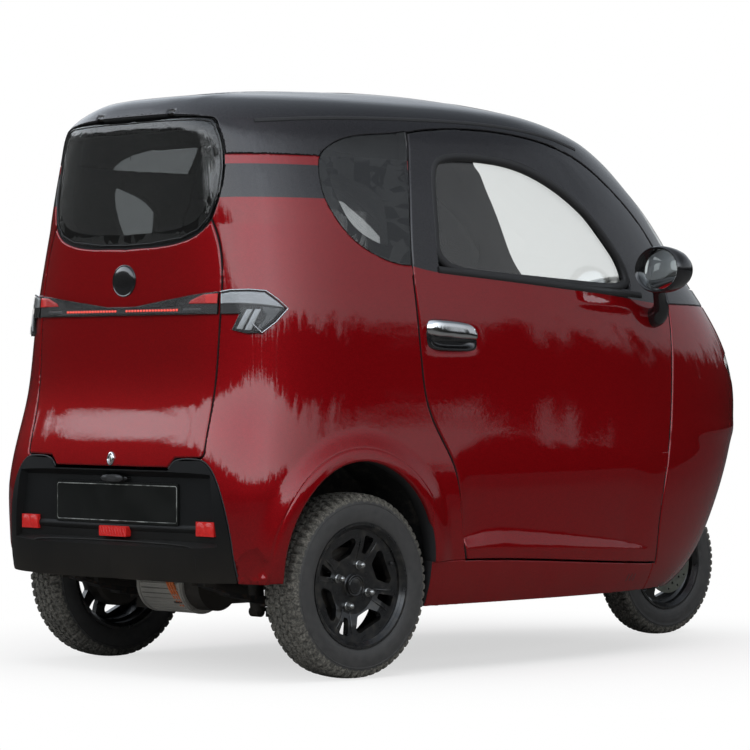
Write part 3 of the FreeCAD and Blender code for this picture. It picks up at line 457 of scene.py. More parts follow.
def height_band(tree, place, low, high, blur=0.0012):
    z = put(tree, "SeparateXYZ", {0: place}).outputs["Z"]
    over = math_node(tree, "MULTIPLY_ADD", z, 0.5 / blur, 0.5 - 0.5 / blur * low, clamp=True)
    under = math_node(tree, "MULTIPLY_ADD", z, -0.5 / blur, 0.5 + 0.5 / blur * high, clamp=True)
    return math_node(tree, "MULTIPLY", over, under)


RED = (0.2, 0.001, 0.003, 1)
RED_FLAKE = (0.34, 0.003, 0.007, 1)
BLACK = (0.0065, 0.0075, 0.009, 1)
BLACK_FLAKE = (0.016, 0.018, 0.021, 1)
DUST = (0.2, 0.16, 0.12, 1)


def paint(name, black_share=None, all_black=False):
    finish, tree, shader, place = new_finish(name)
    flake = put(tree, "TexVoronoi", {"Vector": place, "Scale": 900.0}).outputs["Color"]
    sparkle = stretch(tree, flake, 0.2, 1.0)
    dark = blend_colour(tree, sparkle, BLACK, BLACK_FLAKE)
    colour = dark if all_black else blend_colour(tree, sparkle, RED, RED_FLAKE)
    metal = 0.0 if all_black else 0.65
    if black_share:
        black = black_share(tree, place)
        colour = blend_colour(tree, black, colour, dark)
        metal = math_node(tree, "MULTIPLY_ADD", black, -metal, metal)
    cloud = noise(tree, place, 14.0, 6.0)
    z = put(tree, "SeparateXYZ", {0: place}).outputs["Z"]
    dusty = math_node(tree, "MULTIPLY", stretch(tree, z, 0.42, 0.18), cloud)
    dusty = math_node(tree, "MULTIPLY", dusty, 0.1)
    give(shader, {"Base Color": blend_colour(tree, dusty, colour, DUST), "Metallic": metal,
                  "Specular Tint": (1.0, 0.1, 0.12, 1.0), "Specular IOR Level": 0.08,
                  "Roughness": math_node(tree, "MULTIPLY_ADD", cloud, 0.12, 0.42),
                  "Coat Weight": 1.0, "Coat Roughness": 0.025, "Coat IOR": 1.5,
                  "Coat Normal": bumpy(tree, noise(tree, place, 70.0, 2.0), 0.035, 0.002)})
    return finish


DOOR_LINE = mm("-600,1106 -483,1083 -240,1066 20,1050 300,1026 560,1004")
# Dull dark finish for the panels' sunk faces: lining, and painted shade on sunk panel edges that
# are really red.
lining_and_gap_shade_finish = grained("lining_and_gap_shade", (noise, 650.0, 4.0), (0.012, 0.012, 0.013),
                        (0.02, 0.02, 0.021), 0.9)
red_paint = paint("red_paint")
black_paint = paint("black_paint", all_black=True)
quarter_paint = paint("quarter_paint", lambda tree, place: height_band(tree, place, 1.271, 1.36))
tailgate_paint = paint("tailgate_paint", lambda tree, place: height_band(tree, place, 1.4, 3.0))
door_paint = paint("door_paint", lambda tree, place: above_line(tree, place, DOOR_LINE))


# The quarter panels swell into a rounded flare over each rear wheel. Each is one moulding,
# glued and riveted to the frame, with a black band painted under the roof.
ARCH_X = -0.805
ARCH_Z = 0.3
ARCH_HALF = 0.262
ARCH_RISE = 0.277


def flare(p):
    """Height of the wheel-arch flare over the bare form."""
    along = (p[:, 0] - ARCH_X) / ARCH_HALF
    over = np.clip(p[:, 2] - ARCH_Z, 0, None) / ARCH_RISE
    reach = np.sqrt(along ** 2 + over ** 2)
    away = (reach - 1) * np.where(over > 0, 0.27, ARCH_HALF)
    return 0.0135 * (1 - rise(away, 0.016, 0.085)) * rise(away, -0.06, -0.01)


for side in ("left", "right"):
    quarter = dressed_panel("quarter_" + side, flare, quarter_paint)


# Each door is a hollow moulding in the body's red, with a black painted frame round the
# pane. It hangs on two pins at its front edge and latches behind the driver.
CREASE_TOP = mm("-500,335 -430,362 -340,384 -270,389 -50,368 230,334 340,316 420,300")
CREASE_LOW = mm("-500,333 -400,331 0,317 340,304 420,299")


def door_sculpt(p):
    """A ledge along the foot of the door, a dish above it, and a small fold by the mirror."""
    x, z = p[:, 0], p[:, 2]
    top = np.interp(x, *np.array(CREASE_TOP).T)
    low = np.interp(x, *np.array(CREASE_LOW).T)
    ends = rise(x, -0.5, -0.4) * (1 - rise(x, 0.25, 0.42))
    dish = rise(z, low, top + 0.002) * (1 - rise(z, top + 0.02, top + 0.26))
    fold_x = np.exp(-((x - 0.215) / 0.12) ** 2)
    fold = np.exp(-((z - 1.004 + 0.05 * (x - 0.2)) / 0.013) ** 2)
    cup = np.exp(-((x + 0.447) / 0.075) ** 4 - ((z - 0.9) / 0.03) ** 4)
    return flare(p) - 0.0115 * ends * dish + 0.0035 * fold_x * fold - 0.012 * cup


def cast(starts, way, out=0.0):
    """Points on the form met from inside the body along one direction, and the skin's normals."""
    starts = np.array(starts, float)
    way = np.array(way, float)
    near = np.zeros(len(starts))
    far = np.full(len(starts), 3.0)
    for turn in range(40):
        middle = (near + far) / 2
        inside = form_reach(starts + way * middle[:, None]) < 1
        near = np.where(inside, middle, near)
        far = np.where(inside, far, middle)
    p = starts + way * near[:, None]
    normal = form_depth(p)[1]
    return p + normal * out, normal


def on_side(line, side, out=0.0):
    """Points (x, z) seen from the left (side 1) or right (side -1), laid on the skin."""
    return cast([(x, 0, z) for x, z in line], (0, side, 0), out)


def on_tail(line, out=0.0):
    """Points (y, z) seen from behind, laid on the skin."""
    return cast([(AXLE_X + 0.35, y, z) for y, z in line], (-1, 0, 0), out)


def eased(line, step=0.008, loop=False):
    """A drawn line with its corners softened, in even steps."""
    p = np.array(line, float)
    for turn in range(3):
        ahead = np.roll(p, -1, axis=0)
        cut = np.stack([0.75 * p + 0.25 * ahead, 0.25 * p + 0.75 * ahead], 1)
        if loop:
            p = cut.reshape(-1, 2)
        else:
            p = np.concatenate([p[:1], cut[:-1].reshape(-1, 2), p[-1:]])
    q = np.concatenate([p, p[:1]]) if loop else p
    run = np.concatenate([[0], np.cumsum(np.hypot(*np.diff(q, axis=0).T))])
    count = max(int(run[-1] / step), 4)
    at = np.linspace(0, run[-1], count + 1)
    even = np.stack([np.interp(at, run, q[:, 0]), np.interp(at, run, q[:, 1])], 1)
    return even[:-1] if loop else even


def new_piece(name, parts, body, finish, smooth=40):
    """A piece of the visual model from its points and faces, riding on one body."""
    mesh = bpy.data.meshes.new(name)
    mesh.from_pydata(parts[0], [], parts[1])
    bm = bmesh.new()
    bm.from_mesh(mesh)
    bmesh.ops.recalc_face_normals(bm, faces=bm.faces)
    bm.to_mesh(mesh)
    bm.free()
    mesh.materials.append(finish)
    return placed(name, mesh, body, smooth)


def placed(name, mesh, body, smooth):
    for poly in mesh.polygons:
        poly.use_smooth = True
    mesh.set_sharp_from_angle(angle=math.radians(smooth))
    piece = bpy.data.objects.new(name, mesh)
    bpy.context.scene.collection.objects.link(piece)
    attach(piece, body)
    return piece


def grid_faces(faces, base, rows, width, rows_close=False, width_closes=False):
    """Four-sided faces between rows of points; either direction may close on itself."""
    for i in range(rows if rows_close else rows - 1):
        j = (i + 1) % rows
        for k in range(width if width_closes else width - 1):
            m = (k + 1) % width
            faces.append((base + i * width + k, base + i * width + m,
                          base + j * width + m, base + j * width + k))


def end_faces(faces, base, rows, width):
    faces.append(tuple(base + k for k in reversed(range(width))))
    faces.append(tuple(base + (rows - 1) * width + k for k in range(width)))


def ribbon(parts, path, normals, profile, loop=False):
    """A strip laid along a path: profile points are (across, out of the skin), a closed shape."""
    verts, faces = parts
    ahead = np.roll(path, -1, axis=0) - np.roll(path, 1, axis=0)
    if not loop:
        ahead[0] = path[1] - path[0]
        ahead[-1] = path[-1] - path[-2]
    ahead /= np.linalg.norm(ahead, axis=1)[:, None]
    across = np.cross(ahead, normals)
    across /= np.linalg.norm(across, axis=1)[:, None]
    base = len(verts)
    for spot, side_way, out in zip(path, across, normals):
        verts.extend(tuple(spot + side_way * a + out * b) for a, b in profile)
    grid_faces(faces, base, len(path), len(profile), loop, True)
    if not loop:
        end_faces(faces, base, len(path), len(profile))


def rounded(width, height, steps=6):
    """A half-round strip profile."""
    return [(width / 2 * math.cos(math.pi * i / steps), height * math.sin(math.pi * i / steps))
            for i in range(steps + 1)]


rubber_finish = grained("black_rubber", (noise, 420.0, 3.0), (0.008, 0.008, 0.009),
                        (0.022, 0.022, 0.023), 0.55, bump=(0.15, 0.0006))
glass_finish = grained("side_glass", (noise, 9.0, 5.0), (0.82, 0.83, 0.83), rough=(0.02, 0.0),
                       also={"Transmission Weight": 1.0, "IOR": 1.45})

PANE = mm("-470,1095 -463,1230 -447,1375 -399,1404 -290,1411 -103,1399 61,1345 199,1262 "
          "284,1180 331,1120 337,1052 61,1062 -240,1077")
BELT = mm("-476,1090.5 -240,1074.5 11,1056.5 200,1044.5 389,1035")

SIDES = (("left", 1), ("right", -1))
for side, sign in SIDES:
    body = side + "_door"
    door = dressed_panel("door_" + side, door_sculpt, door_paint)
    dress(glass_finish, "door_glass_" + side)

    parts = ([], [])
    ribbon(parts, *on_side(eased(PANE, 0.01, loop=True), sign, -0.006),
           rounded(0.026, 0.008) + [(-0.013, -0.007), (0.013, -0.007)], True)
    new_piece("window_seal_" + side, parts, body, rubber_finish)
    parts = ([], [])
    ribbon(parts, *on_side(eased(BELT), sign, -0.001), rounded(0.02, 0.0055))
    new_piece("belt_moulding_" + side, parts, body, rubber_finish)

# Door handles: a chrome grip bridges a sunk black cup. Both are screwed on from inside, and
# a flush cover closes the hinge's pocket near the front edge.
chrome_finish = grained("bright_chrome", (noise, 60.0, 4.0), (0.7, 0.71, 0.72),
                        (0.82, 0.82, 0.83), (0.1, 0.02), also={"Metallic": 1.0})
plastic_finish = grained("moulded_plastic", (noise, 6.0, 4.0), (0.012, 0.0125, 0.013),
                         (0.026, 0.026, 0.026), (0.15, 0.4), bump=(0.3, 0.0006, noise, 900.0, 2.0))
gloss_finish = grained("gloss_black_plastic", (noise, 35.0, 4.0), (0.006, 0.006, 0.007),
                       (0.014, 0.014, 0.015), (0.08, 0.12),
                       also={"Coat Weight": 0.5, "Coat Roughness": 0.05})


def disc_patch(parts, outline, height_at, place_at, rings=8):
    """A cap over a closed flat outline: rings of points shrink to the middle, lifted by a rule."""
    verts, faces = parts
    ring = np.array(outline, float)
    centre = ring.mean(0)
    count = len(ring)
    base = len(verts)
    for r in range(rings):
        share = 1 - r / rings
        flat = centre + (ring - centre) * share
        verts.extend(map(tuple, place_at(flat, np.array([height_at(share, q) for q in flat]))))
    grid_faces(faces, base, rings, count, False, True)
    verts.extend(map(tuple, place_at(centre[None], np.array([height_at(0, centre)]))))
    tip, last = len(verts) - 1, base + (rings - 1) * count
    for k in range(count):
        faces.append((last + k, last + (k + 1) % count, tip))


def laid(lay, *fixed, base_out=0.0):
    """A rule that puts flat points and heights on the skin, as disc_patch and slab ask for."""
    def at(flat, lift):
        p, n = lay(flat, *fixed)
        return p + n * (np.asarray(lift) + base_out)[:, None]
    return at


def dense(outline, step):
    """A drawn closed line in even short steps, with its corners kept."""
    p = np.array(outline, float)
    line = []
    for a, b in zip(p, np.roll(p, -1, axis=0)):
        count = max(int(np.linalg.norm(b - a) / step), 1)
        line.extend(a + (b - a) * k / count for k in range(count))
    return np.array(line)


BEZEL = mm("-544,886 -540,950 -520,960 -400,952 -362,940 -348,915 -347,880 -362,868 -450,869 "
           "-515,872")
GRIP = mm("-540,915 -537,946 -520,957 -400,949 -364,937 -350,914 -350,900 -375,899 -440,901 "
          "-470,905 -510,906")
HINGE_COVER = mm("438,535 462.2,535 466.5,552 472.2,581.5 438,581.5")
for side, sign in SIDES:
    body = side + "_door"
    parts = ([], [])
    disc_patch(parts, eased(BEZEL, 0.006, True),
               lambda share, q: 0.0055 * min(1.0, (1 - share) * 9) - 0.0105
               * rise(0.93 - share, 0.0, 0.3) * rise(0.912 - q[1], 0.0, 0.016),
               laid(on_side, sign, base_out=-0.002), 22)
    new_piece("handle_cup_" + side, parts, body, gloss_finish, 60)
    parts = ([], [])
    disc_patch(parts, eased(GRIP, 0.004, True),
               lambda share, q: 0.02 * math.sqrt(max(1 - share ** 5, 0)),
               laid(on_side, sign, base_out=0.001), 16)
    grip = new_piece("handle_grip_" + side, parts, body, chrome_finish, 60)
    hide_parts("door_handle_" + side)
    parts = ([], [])
    disc_patch(parts, dense(HINGE_COVER, 0.004),
               lambda share, q: 0.0002 if share < 1 else -0.0008, laid(on_side, sign), 12)
    new_piece("hinge_cover_" + side, parts, body, red_paint, 60)


# Mirrors: a round black cup on a curved neck, faced with a silvered glass. The neck is
# bolted through the door at the foot of the window frame.
mirror_glass = grained("silvered_glass", (noise, 25.0, 5.0), (0.62, 0.66, 0.66),
                       (0.72, 0.75, 0.75), (0.06, 0.0), also={"Metallic": 1.0})


def lathe(parts, profile, turns, frame_matrix, squash=(1.0, 1.0)):
    """A profile of (radius, along) turned about the frame's Z axis, with an oval squash."""
    verts, faces = parts
    base = len(verts)
    for i in range(turns):
        a = 2 * math.pi * i / turns
        for r, h in profile:
            spot = Vector((r * math.cos(a) * squash[0], r * math.sin(a) * squash[1], h))
            verts.append(tuple(frame_matrix @ spot))
    grid_faces(faces, base, turns, len(profile), True)


def facing(place, way, roll_hint=(0, 0, 1)):
    """A frame at a place whose Z axis points a given way and whose Y axis leans to a hint."""
    z = Vector(way).normalized()
    x = Vector(roll_hint).cross(z).normalized()
    y = z.cross(x)
    m = Matrix((x, y, z)).transposed().to_4x4()
    m.translation = Vector(place)
    return m


def tube(parts, line, radii, sides=20, ends=True):
    """A round bar along a line of points, with a radius at each point."""
    verts, faces = parts
    p = [Vector(q) for q in line]
    base = len(verts)
    side_way = (p[1] - p[0]).normalized().orthogonal().normalized()
    for i, q in enumerate(p):
        ahead = (p[min(i + 1, len(p) - 1)] - p[max(i - 1, 0)]).normalized()
        side_way = (side_way - ahead * side_way.dot(ahead)).normalized()
        other = ahead.cross(side_way)
        for k in range(sides):
            a = 2 * math.pi * k / sides
            verts.append(tuple(q + (side_way * math.cos(a) + other * math.sin(a)) * radii[i]))
    grid_faces(faces, base, len(p), sides, False, True)
    if ends:
        end_faces(faces, base, len(p), sides)


def bent(points, count=24):
    """A smooth line through a few points in space."""
    p = np.array(points, float)
    for turn in range(4):
        mid = np.stack([0.75 * p[:-1] + 0.25 * p[1:], 0.25 * p[:-1] + 0.75 * p[1:]], 1)
        p = np.concatenate([p[:1], mid.reshape(-1, 3), p[-1:]])
    run = np.concatenate([[0], np.cumsum(np.linalg.norm(np.diff(p, axis=0), axis=1))])
    at = np.linspace(0, run[-1], count)
    return np.stack([np.interp(at, run, p[:, k]) for k in range(3)], 1)


BOWL = mm("57,-10 58,4 60.5,9 64,11 66.8,7 68,-2 67,-20 64,-40 59,-58 50,-75 37,-87 20,-94 "
          "0,-96")
OVAL = (1.28, 1.0)
for side, sign in SIDES:
    body = side + "_door"
    face = facing((0.336, sign * 0.59, 1.106), (-1, 0, 0.02))
    parts = ([], [])
    lathe(parts, BOWL, 64, face, OVAL)
    stem = bent([(0.44, sign * 0.47, 0.97), (0.438, sign * 0.492, 0.975),
                 (0.436, sign * 0.512, 0.998), (0.41, sign * 0.525, 1.03),
                 (0.385, sign * 0.545, 1.058), (0.372, sign * 0.572, 1.08)], 28)
    tube(parts, stem, [0.03 - 0.012 * rise(i / 27, 0.05, 0.55) + 0.006 * rise(i / 27, 0.7, 1.0)
                       for i in range(28)], 28)
    mirror = new_piece("mirror_shell_" + side, parts, body, gloss_finish, 50)
    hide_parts("mirror_" + side)
    parts = ([], [])
    lathe(parts, mm("0,-2.5 20,-3 40,-4.5 57.2,-7.5 57.2,-11"), 64, face, OVAL)
    new_piece("mirror_glass_" + side, parts, body, mirror_glass, 50)


# The tailgate is one red moulding with the rear window bonded into its upper half. It is
# hung from two hinges under the roof edge and locked by a key at its foot.
gate = dressed_panel("tailgate", plain_form, tailgate_paint)
dark_glass = grained("privacy_glass", (noise, 11.0, 5.0), (0.3, 0.315, 0.32), rough=(0.02, 0.0),
                     also={"Transmission Weight": 1.0, "IOR": 1.5})
clear_glass = grained("windscreen_glass", (noise, 7.0, 5.0), (0.93, 0.95, 0.94),
                      rough=(0.015, 0.0), also={"Transmission Weight": 1.0, "IOR": 1.5})
dress(dark_glass, "rear_glass", "quarter_glasses")
dress(clear_glass, "windscreen")


# Roof, cowl and windscreen pillars are one moulding in black lacquer. The nose below them
# and the sill strips under the doors are red, riveted to the frame and sealed with mastic.
def roof_sculpt(p):
    """Two faint ribs run along the roof, as on most moulded tops."""
    y = np.abs(p[:, 1])
    rib = np.exp(-((y - 0.2) / 0.03) ** 2)
    return 0.0015 * rib * rise(p[:, 2], 1.5, 1.57)


def nose_sculpt(p):
    """A soft fold round the nose at lamp height."""
    z = p[:, 2]
    fold = np.exp(-((z - 0.64) / 0.03) ** 2)
    return 0.004 * fold * rise(p[:, 0], 0.55, 0.85)


roof = dressed_panel("roof", roof_sculpt, black_paint)
nose = dressed_panel("front_body", nose_sculpt, red_paint)
sills = dressed_panel("sills", plain_form, red_paint)

GUTTER = mm("-1020,1475 -800,1492 -500,1503 -200,1506 50,1490 220,1455")
parts = ([], [])
for sign in (-1, 1):
    ribbon(parts, *on_side(eased(GUTTER, 0.02), sign, -0.001), rounded(0.014, 0.004))
new_piece("roof_gutters", parts, "body", rubber_finish)
parts = ([], [])
for sign in (-1, 1):
    for x in (0.3, 0.318, 0.336):
        ribbon(parts, *on_side([(x, 0.212), (x + 0.004, 0.222), (x + 0.008, 0.232)],
                               sign, -0.0012), rounded(0.007, 0.0016))
new_piece("sill_vents", parts, "body", rubber_finish)


# Tyres: black road rubber, moulded in one piece with cut tread blocks. The tread has
# picked up dry dust, and the side walls keep a dull sheen.
PITCHES = 62
PITCH_STEPS = (0.0, 0.055, 0.11, 0.3, 0.48, 0.535, 0.59, 0.8)
tread_finish, tree, shader, place = new_finish("dusty_tread")
dust = noise(tree, place, 160.0, 8.0, 0.75)
patch = math_node(tree, "ADD", noise(tree, place, 22.0, 3.0), 0.35)
share = math_node(tree, "MULTIPLY", stretch(tree, dust, 0.42, 0.72), patch)
give(shader, {"Roughness": 0.85, "Normal": bumpy(tree, dust, 0.25, 0.0012),
              "Base Color": blend_colour(tree, share, (0.038, 0.038, 0.034, 1),
                                         (0.27, 0.255, 0.22, 1))})
wall_finish = grained("tyre_wall", (noise, 55.0, 6.0), (0.022, 0.0225, 0.024),
                      (0.062, 0.061, 0.059), (0.25, 0.42), bump=(0.25, 0.0005, noise, 700.0, 2.0))


def tyre_section(outer_r, bead_r, half):
    """Half section from the bead to the crown, as (radius, across, share of the tread)."""
    tall = outer_r - bead_r
    bead = ((0.002, 0.74), (0.006, 0.84), (0.013, 0.885), (0.0145, 0.9))
    wall = ((0.22, 0.945, 0), (0.34, 0.985, 0), (0.46, 0.995, 0), (0.58, 0.985, 0),
            (0.66, 0.965, 0), (0.675, 0.975, 0), (0.69, 0.975, 0), (0.7, 0.958, 0),
            (0.76, 0.94, 0.5), (0.83, 0.905, 1), (0.89, 0.855, 1), (0.935, 0.79, 1),
            (0.962, 0.725, 1))
    line = [(bead_r + up, wide * half, 0) for up, wide in bead]
    line += [(bead_r + up * tall, wide * half, tread) for up, wide, tread in wall]
    for i in range(22):
        across = 0.68 * half * (1 - i / 22)
        line.append((outer_r - 0.034 * tall * (across / (0.68 * half)) ** 2, across, 1))
    return line


GROOVES = ((0.17, 0.0028), (0.5, 0.003))   # place as a share of the half width, and half width
GROOVE_ZIG = 0.0022
GROOVE_DEPTH = 0.0055
SLITS = ((0.0, 0.09, 0.003), (0.5, 0.09, 0.0045), (0.0, 0.115, 0.0065))   # start, width, depth


def tread_cut(turn, across, half):
    """Depth of the grooves at a share of a pitch and a place across the tyre, in metres."""
    across = abs(across)
    zig = GROOVE_ZIG if turn < 0.5 else -GROOVE_ZIG
    if any(abs(across - place * half + zig) < wide for place, wide in GROOVES):
        return GROOVE_DEPTH
    start, wide, deep = SLITS[sum(int(across >= place * half) for place, wide in GROOVES)]
    return deep if (turn + start) % 1.0 < wide else 0.0


def tyre_mesh(name, centre, outer_r, bead_r, half):
    half_line = tyre_section(outer_r, bead_r, half)
    line = half_line + [(outer_r, 0.0, 1)] + [(r, -y, t) for r, y, t in reversed(half_line)]
    radius, across, edge = np.array(line).T
    turns = [(k + s) / PITCHES for k in range(PITCHES) for s in PITCH_STEPS]
    count, width = len(turns), len(line)
    spot = np.zeros((count, width, 3))
    cuts = [radius - [tread_cut(s, y, half) * e for y, e in zip(across, edge)]
            for s in PITCH_STEPS]
    for i, turn in enumerate(turns):
        r = cuts[i % len(PITCH_STEPS)]
        angle = 2 * math.pi * turn
        spot[i, :, 0] = centre[0] + r * math.cos(angle)
        spot[i, :, 1] = centre[1] + across
        spot[i, :, 2] = centre[2] + r * math.sin(angle)
    faces = []
    grid_faces(faces, 0, count, width, True)
    mesh = bpy.data.meshes.new(name)
    mesh.from_pydata(spot.reshape(-1, 3).tolist(), [], faces)
    tread = np.tile((edge[:-1] > 0.4) & (edge[1:] > 0.4), count)
    mesh.materials.append(wall_finish)
    mesh.materials.append(tread_finish)
    mesh.polygons.foreach_set("material_index", tread.astype(np.int32))
    mesh.update()
    return mesh


REAR_WHEEL = {"left": (-0.799, 0.5, 0.247), "right": (-0.799, -0.5, 0.247)}
FRONT_WHEEL = (0.977, 0.0, 0.224)
for side in ("left", "right"):
    tyre = placed("tyre_tread_" + side, tyre_mesh("rear_tyre_tread", REAR_WHEEL[side], 0.2468,
                                                  0.1545, 0.0672), side + "_wheel", 32)
    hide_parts("rear_tyre_" + side)
tyre = placed("tyre_tread_front", tyre_mesh("front_tyre_tread", FRONT_WHEEL, 0.2239, 0.133, 0.0518),
              "front_wheel", 32)
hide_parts("front_tyre")

# Rims: cast aluminium in black gloss, four pairs of spokes at the rear and five spokes in
# front. Each rear rim is held by four plated nuts and has a plain pressed cap.
rim_finish = grained("black_rim", (noise, 45.0, 7.0), (0.0075, 0.0078, 0.0085),
                     (0.034, 0.031, 0.026), (0.3, 0.16), (0.5, 0.75),
                     (0.06, 0.0008, noise, 600.0, 2.0),
                     {"Coat Weight": 0.35, "Coat Roughness": 0.1})
plated_finish = grained("plated_steel", (noise, 120.0, 6.0), (0.34, 0.34, 0.33),
                        (0.62, 0.62, 0.6), (0.35, 0.12), also={"Metallic": 0.9})
dress(rim_finish, "rear_rim_left", "rear_rim_right", "front_rim")

LUG_CIRCLE = 0.05715
WHEEL_TURN = math.radians(-20.5)


def around(centre, reach, angle, out):
    """A point about a wheel's centre, moved along the axle."""
    x, y, z = centre
    return (x + reach * math.cos(angle), y + out, z + reach * math.sin(angle))


for side, sign in SIDES:
    body = side + "_wheel"
    centre = REAR_WHEEL[side]
    parts = ([], [])
    for i in range(4):
        seat = facing(around(centre, LUG_CIRCLE, WHEEL_TURN + math.radians(90 * i),
                             sign * 0.0285), (0, sign, 0))
        lathe(parts, mm("0,0 11.8,0 11.8,2.2 10,4"), 20, seat)
        lathe(parts, mm("10,3 9.8,12.5 8.5,15"), 6, seat)
        lathe(parts, mm("8.4,14 7.8,18.5 5.5,21.5 2.5,23 0,23.3"), 20, seat)
    new_piece("wheel_nuts_" + side, parts, body, plated_finish, 35)

    parts = ([], [])
    hub = facing(centre, (0, sign, 0))
    lathe(parts, mm("29,31 30,37 28.8,40.2 27.2,40.8 26.2,38.5 23.6,38 22.2,40 20.5,40.5 "
                    "19.2,38.8 16.5,39.2 10,40.4 0,40.8"), 48, hub)
    new_piece("hub_cap_" + side, parts, body, rim_finish, 35)

    parts = ([], [])
    lathe(parts, mm("156,48 160,51 163,53.5 164.5,56.5 166.8,59 169,58 169.3,55"), 128, hub)
    for i in range(4):
        for low_deg, high_deg in ((10.5, 13.0), (79.5, 77.0)):
            start = WHEEL_TURN + math.radians(90 * i + low_deg)
            stop = WHEEL_TURN + math.radians(90 * i + high_deg)
            line = []
            for t in np.linspace(0, 1, 9):
                r = 0.072 + 0.062 * t
                out = min(0.0295 + 0.0095 * max(0.0, (r - 0.076) / 0.029), 0.0405)
                line.append(around(centre, r, start + (stop - start) * t, sign * out))
            tube(parts, line, [0.0018 + 0.0012 * math.sin(math.pi * k / 8) for k in range(9)], 10)
    new_piece("rim_edges_" + side, parts, body, rim_finish, 35)

    parts = ([], [])
    angle = WHEEL_TURN + math.radians(45)
    foot = Vector(around(centre, 0.142, angle, sign * 0.02))
    tip = Vector(around(centre, 0.131, angle, sign * 0.052))
    tube(parts, [foot + (tip - foot) * t for t in (0, 0.3, 0.32, 0.7, 0.72, 0.98, 1.0)],
         [0.0055, 0.0045, 0.003, 0.003, 0.0044, 0.0044, 0.003], 14)
    new_piece("valve_" + side, parts, body, rubber_finish, 35)


# Front brake and fork: a drilled steel disc on the hub, gripped by a cast caliper on a
# tubular steel fork. The real disc's working faces are bright and its edge dull; here one ringed
# steel finish covers it all.
disc_finish, tree, shader, place = new_finish("brake_steel")
local = put(tree, "VectorMath", {0: place, 1: FRONT_WHEEL}, operation="SUBTRACT")
flat = put(tree, "VectorMath", {0: local.outputs[0], 1: (1.0, 0.0, 1.0)}, operation="MULTIPLY")
reach = put(tree, "VectorMath", {0: flat.outputs[0]}, operation="LENGTH").outputs["Value"]
rings = math_node(tree, "SINE", math_node(tree, "MULTIPLY", reach, 5200.0))
tone = math_node(tree, "MULTIPLY_ADD", rings, 0.12, noise(tree, place, 40.0, 6.0))
give(shader, {"Base Color": blend_colour(tree, tone, (0.115, 0.125, 0.105, 1),
                                         (0.24, 0.25, 0.22, 1)),
              "Roughness": math_node(tree, "MULTIPLY_ADD", tone, 0.15, 0.25), "Metallic": 0.7})

cast_finish = grained("cast_aluminium", (noise, 18.0, 6.0), (0.26, 0.25, 0.23),
                      (0.6, 0.58, 0.53), (0.35, 0.3), bump=(0.35, 0.001, noise, 260.0, 5.0),
                      also={"Metallic": 0.6})

steel_paint, tree, shader, place = new_finish("frame_paint")
chips = noise(tree, place, 90.0, 8.0, 0.7)
soil = noise(tree, place, 12.0, 6.0)
dark = blend_colour(tree, soil, (0.01, 0.01, 0.01, 1), (0.05, 0.042, 0.033, 1))
give(shader, {"Base Color": blend_colour(tree, stretch(tree, chips, 0.64, 0.7), dark,
                                         (0.11, 0.075, 0.05, 1)),
              "Roughness": math_node(tree, "MULTIPLY_ADD", soil, 0.35, 0.38),
              "Normal": bumpy(tree, chips, 0.2, 0.001)})
dress(disc_finish, "brake_disc")
dress(cast_finish, "brake_caliper")
dress(steel_paint, "fork", "rear_frame", "rear_axle", "dampers", "steering_column", "seat_base")

parts = ([], [])
lathe(parts, mm("42,52.2 45,53.2 49,53.2 51.5,52.2"), 64,
      facing(FRONT_WHEEL, (0, -1, 0)))
for i in range(5):
    angle = math.radians(72 * i + 36)
    seat = facing(around(FRONT_WHEEL, 0.029, angle, -0.0518), (0, -1, 0))
    lathe(parts, mm("5.8,0 5.8,4 3,4.2 2.8,2.2 0,2.2"), 12, seat)
new_piece("disc_bolts", parts, "front_wheel", plated_finish, 35)

parts = ([], [])
for sign in (-1, 1):
    seat = facing(around(FRONT_WHEEL, 0.0, 0.0, sign * 0.094), (0, sign, 0))
    lathe(parts, mm("0,0 18,0 18,2.5 13.5,3"), 28, seat)
    lathe(parts, mm("14,2 14,10 11.8,11.8 0,12"), 6, seat)
new_piece("fork_nuts", parts, "steered_fork", plated_finish, 35)


# Tail lamps: a lens block wraps each rear corner and a smoked bar joins them across the
# tailgate. Each has a dark housing with silvered and red inner parts under a clear cover.
def lamp_plastic(name, first, second, rough, metallic=0.0, painted_glow=None):
    """A lamp's inner moulding with fine prisms, which may carry a painted glow: a faint emitted
    light that brightens it under its cover.
    """
    finish, tree, shader, place = new_finish(name)
    prism = wave(tree, place, 130.0, 0.4, "Z")
    cloud = noise(tree, place, 60.0, 4.0)
    share = math_node(tree, "MULTIPLY", prism, cloud)
    give(shader, {"Base Color": blend_colour(tree, share, (*first, 1), (*second, 1)),
                  "Roughness": math_node(tree, "MULTIPLY_ADD", cloud, 0.12, rough),
                  "Metallic": metallic, "Normal": bumpy(tree, prism, 0.25, 0.0008)})
    if painted_glow:
        give(shader, {"Emission Color": (*painted_glow, 1), "Emission Strength": 1.0})
    return finish


housing_finish = lamp_plastic("lamp_housing", (0.01, 0.01, 0.01), (0.03, 0.03, 0.031), 0.15)
silver_finish = lamp_plastic("lamp_silver", (0.4, 0.42, 0.43), (0.74, 0.76, 0.78), 0.16, 0.55)
dim_finish = lamp_plastic("lamp_grey", (0.085, 0.09, 0.092), (0.17, 0.175, 0.18), 0.2, 0.4)
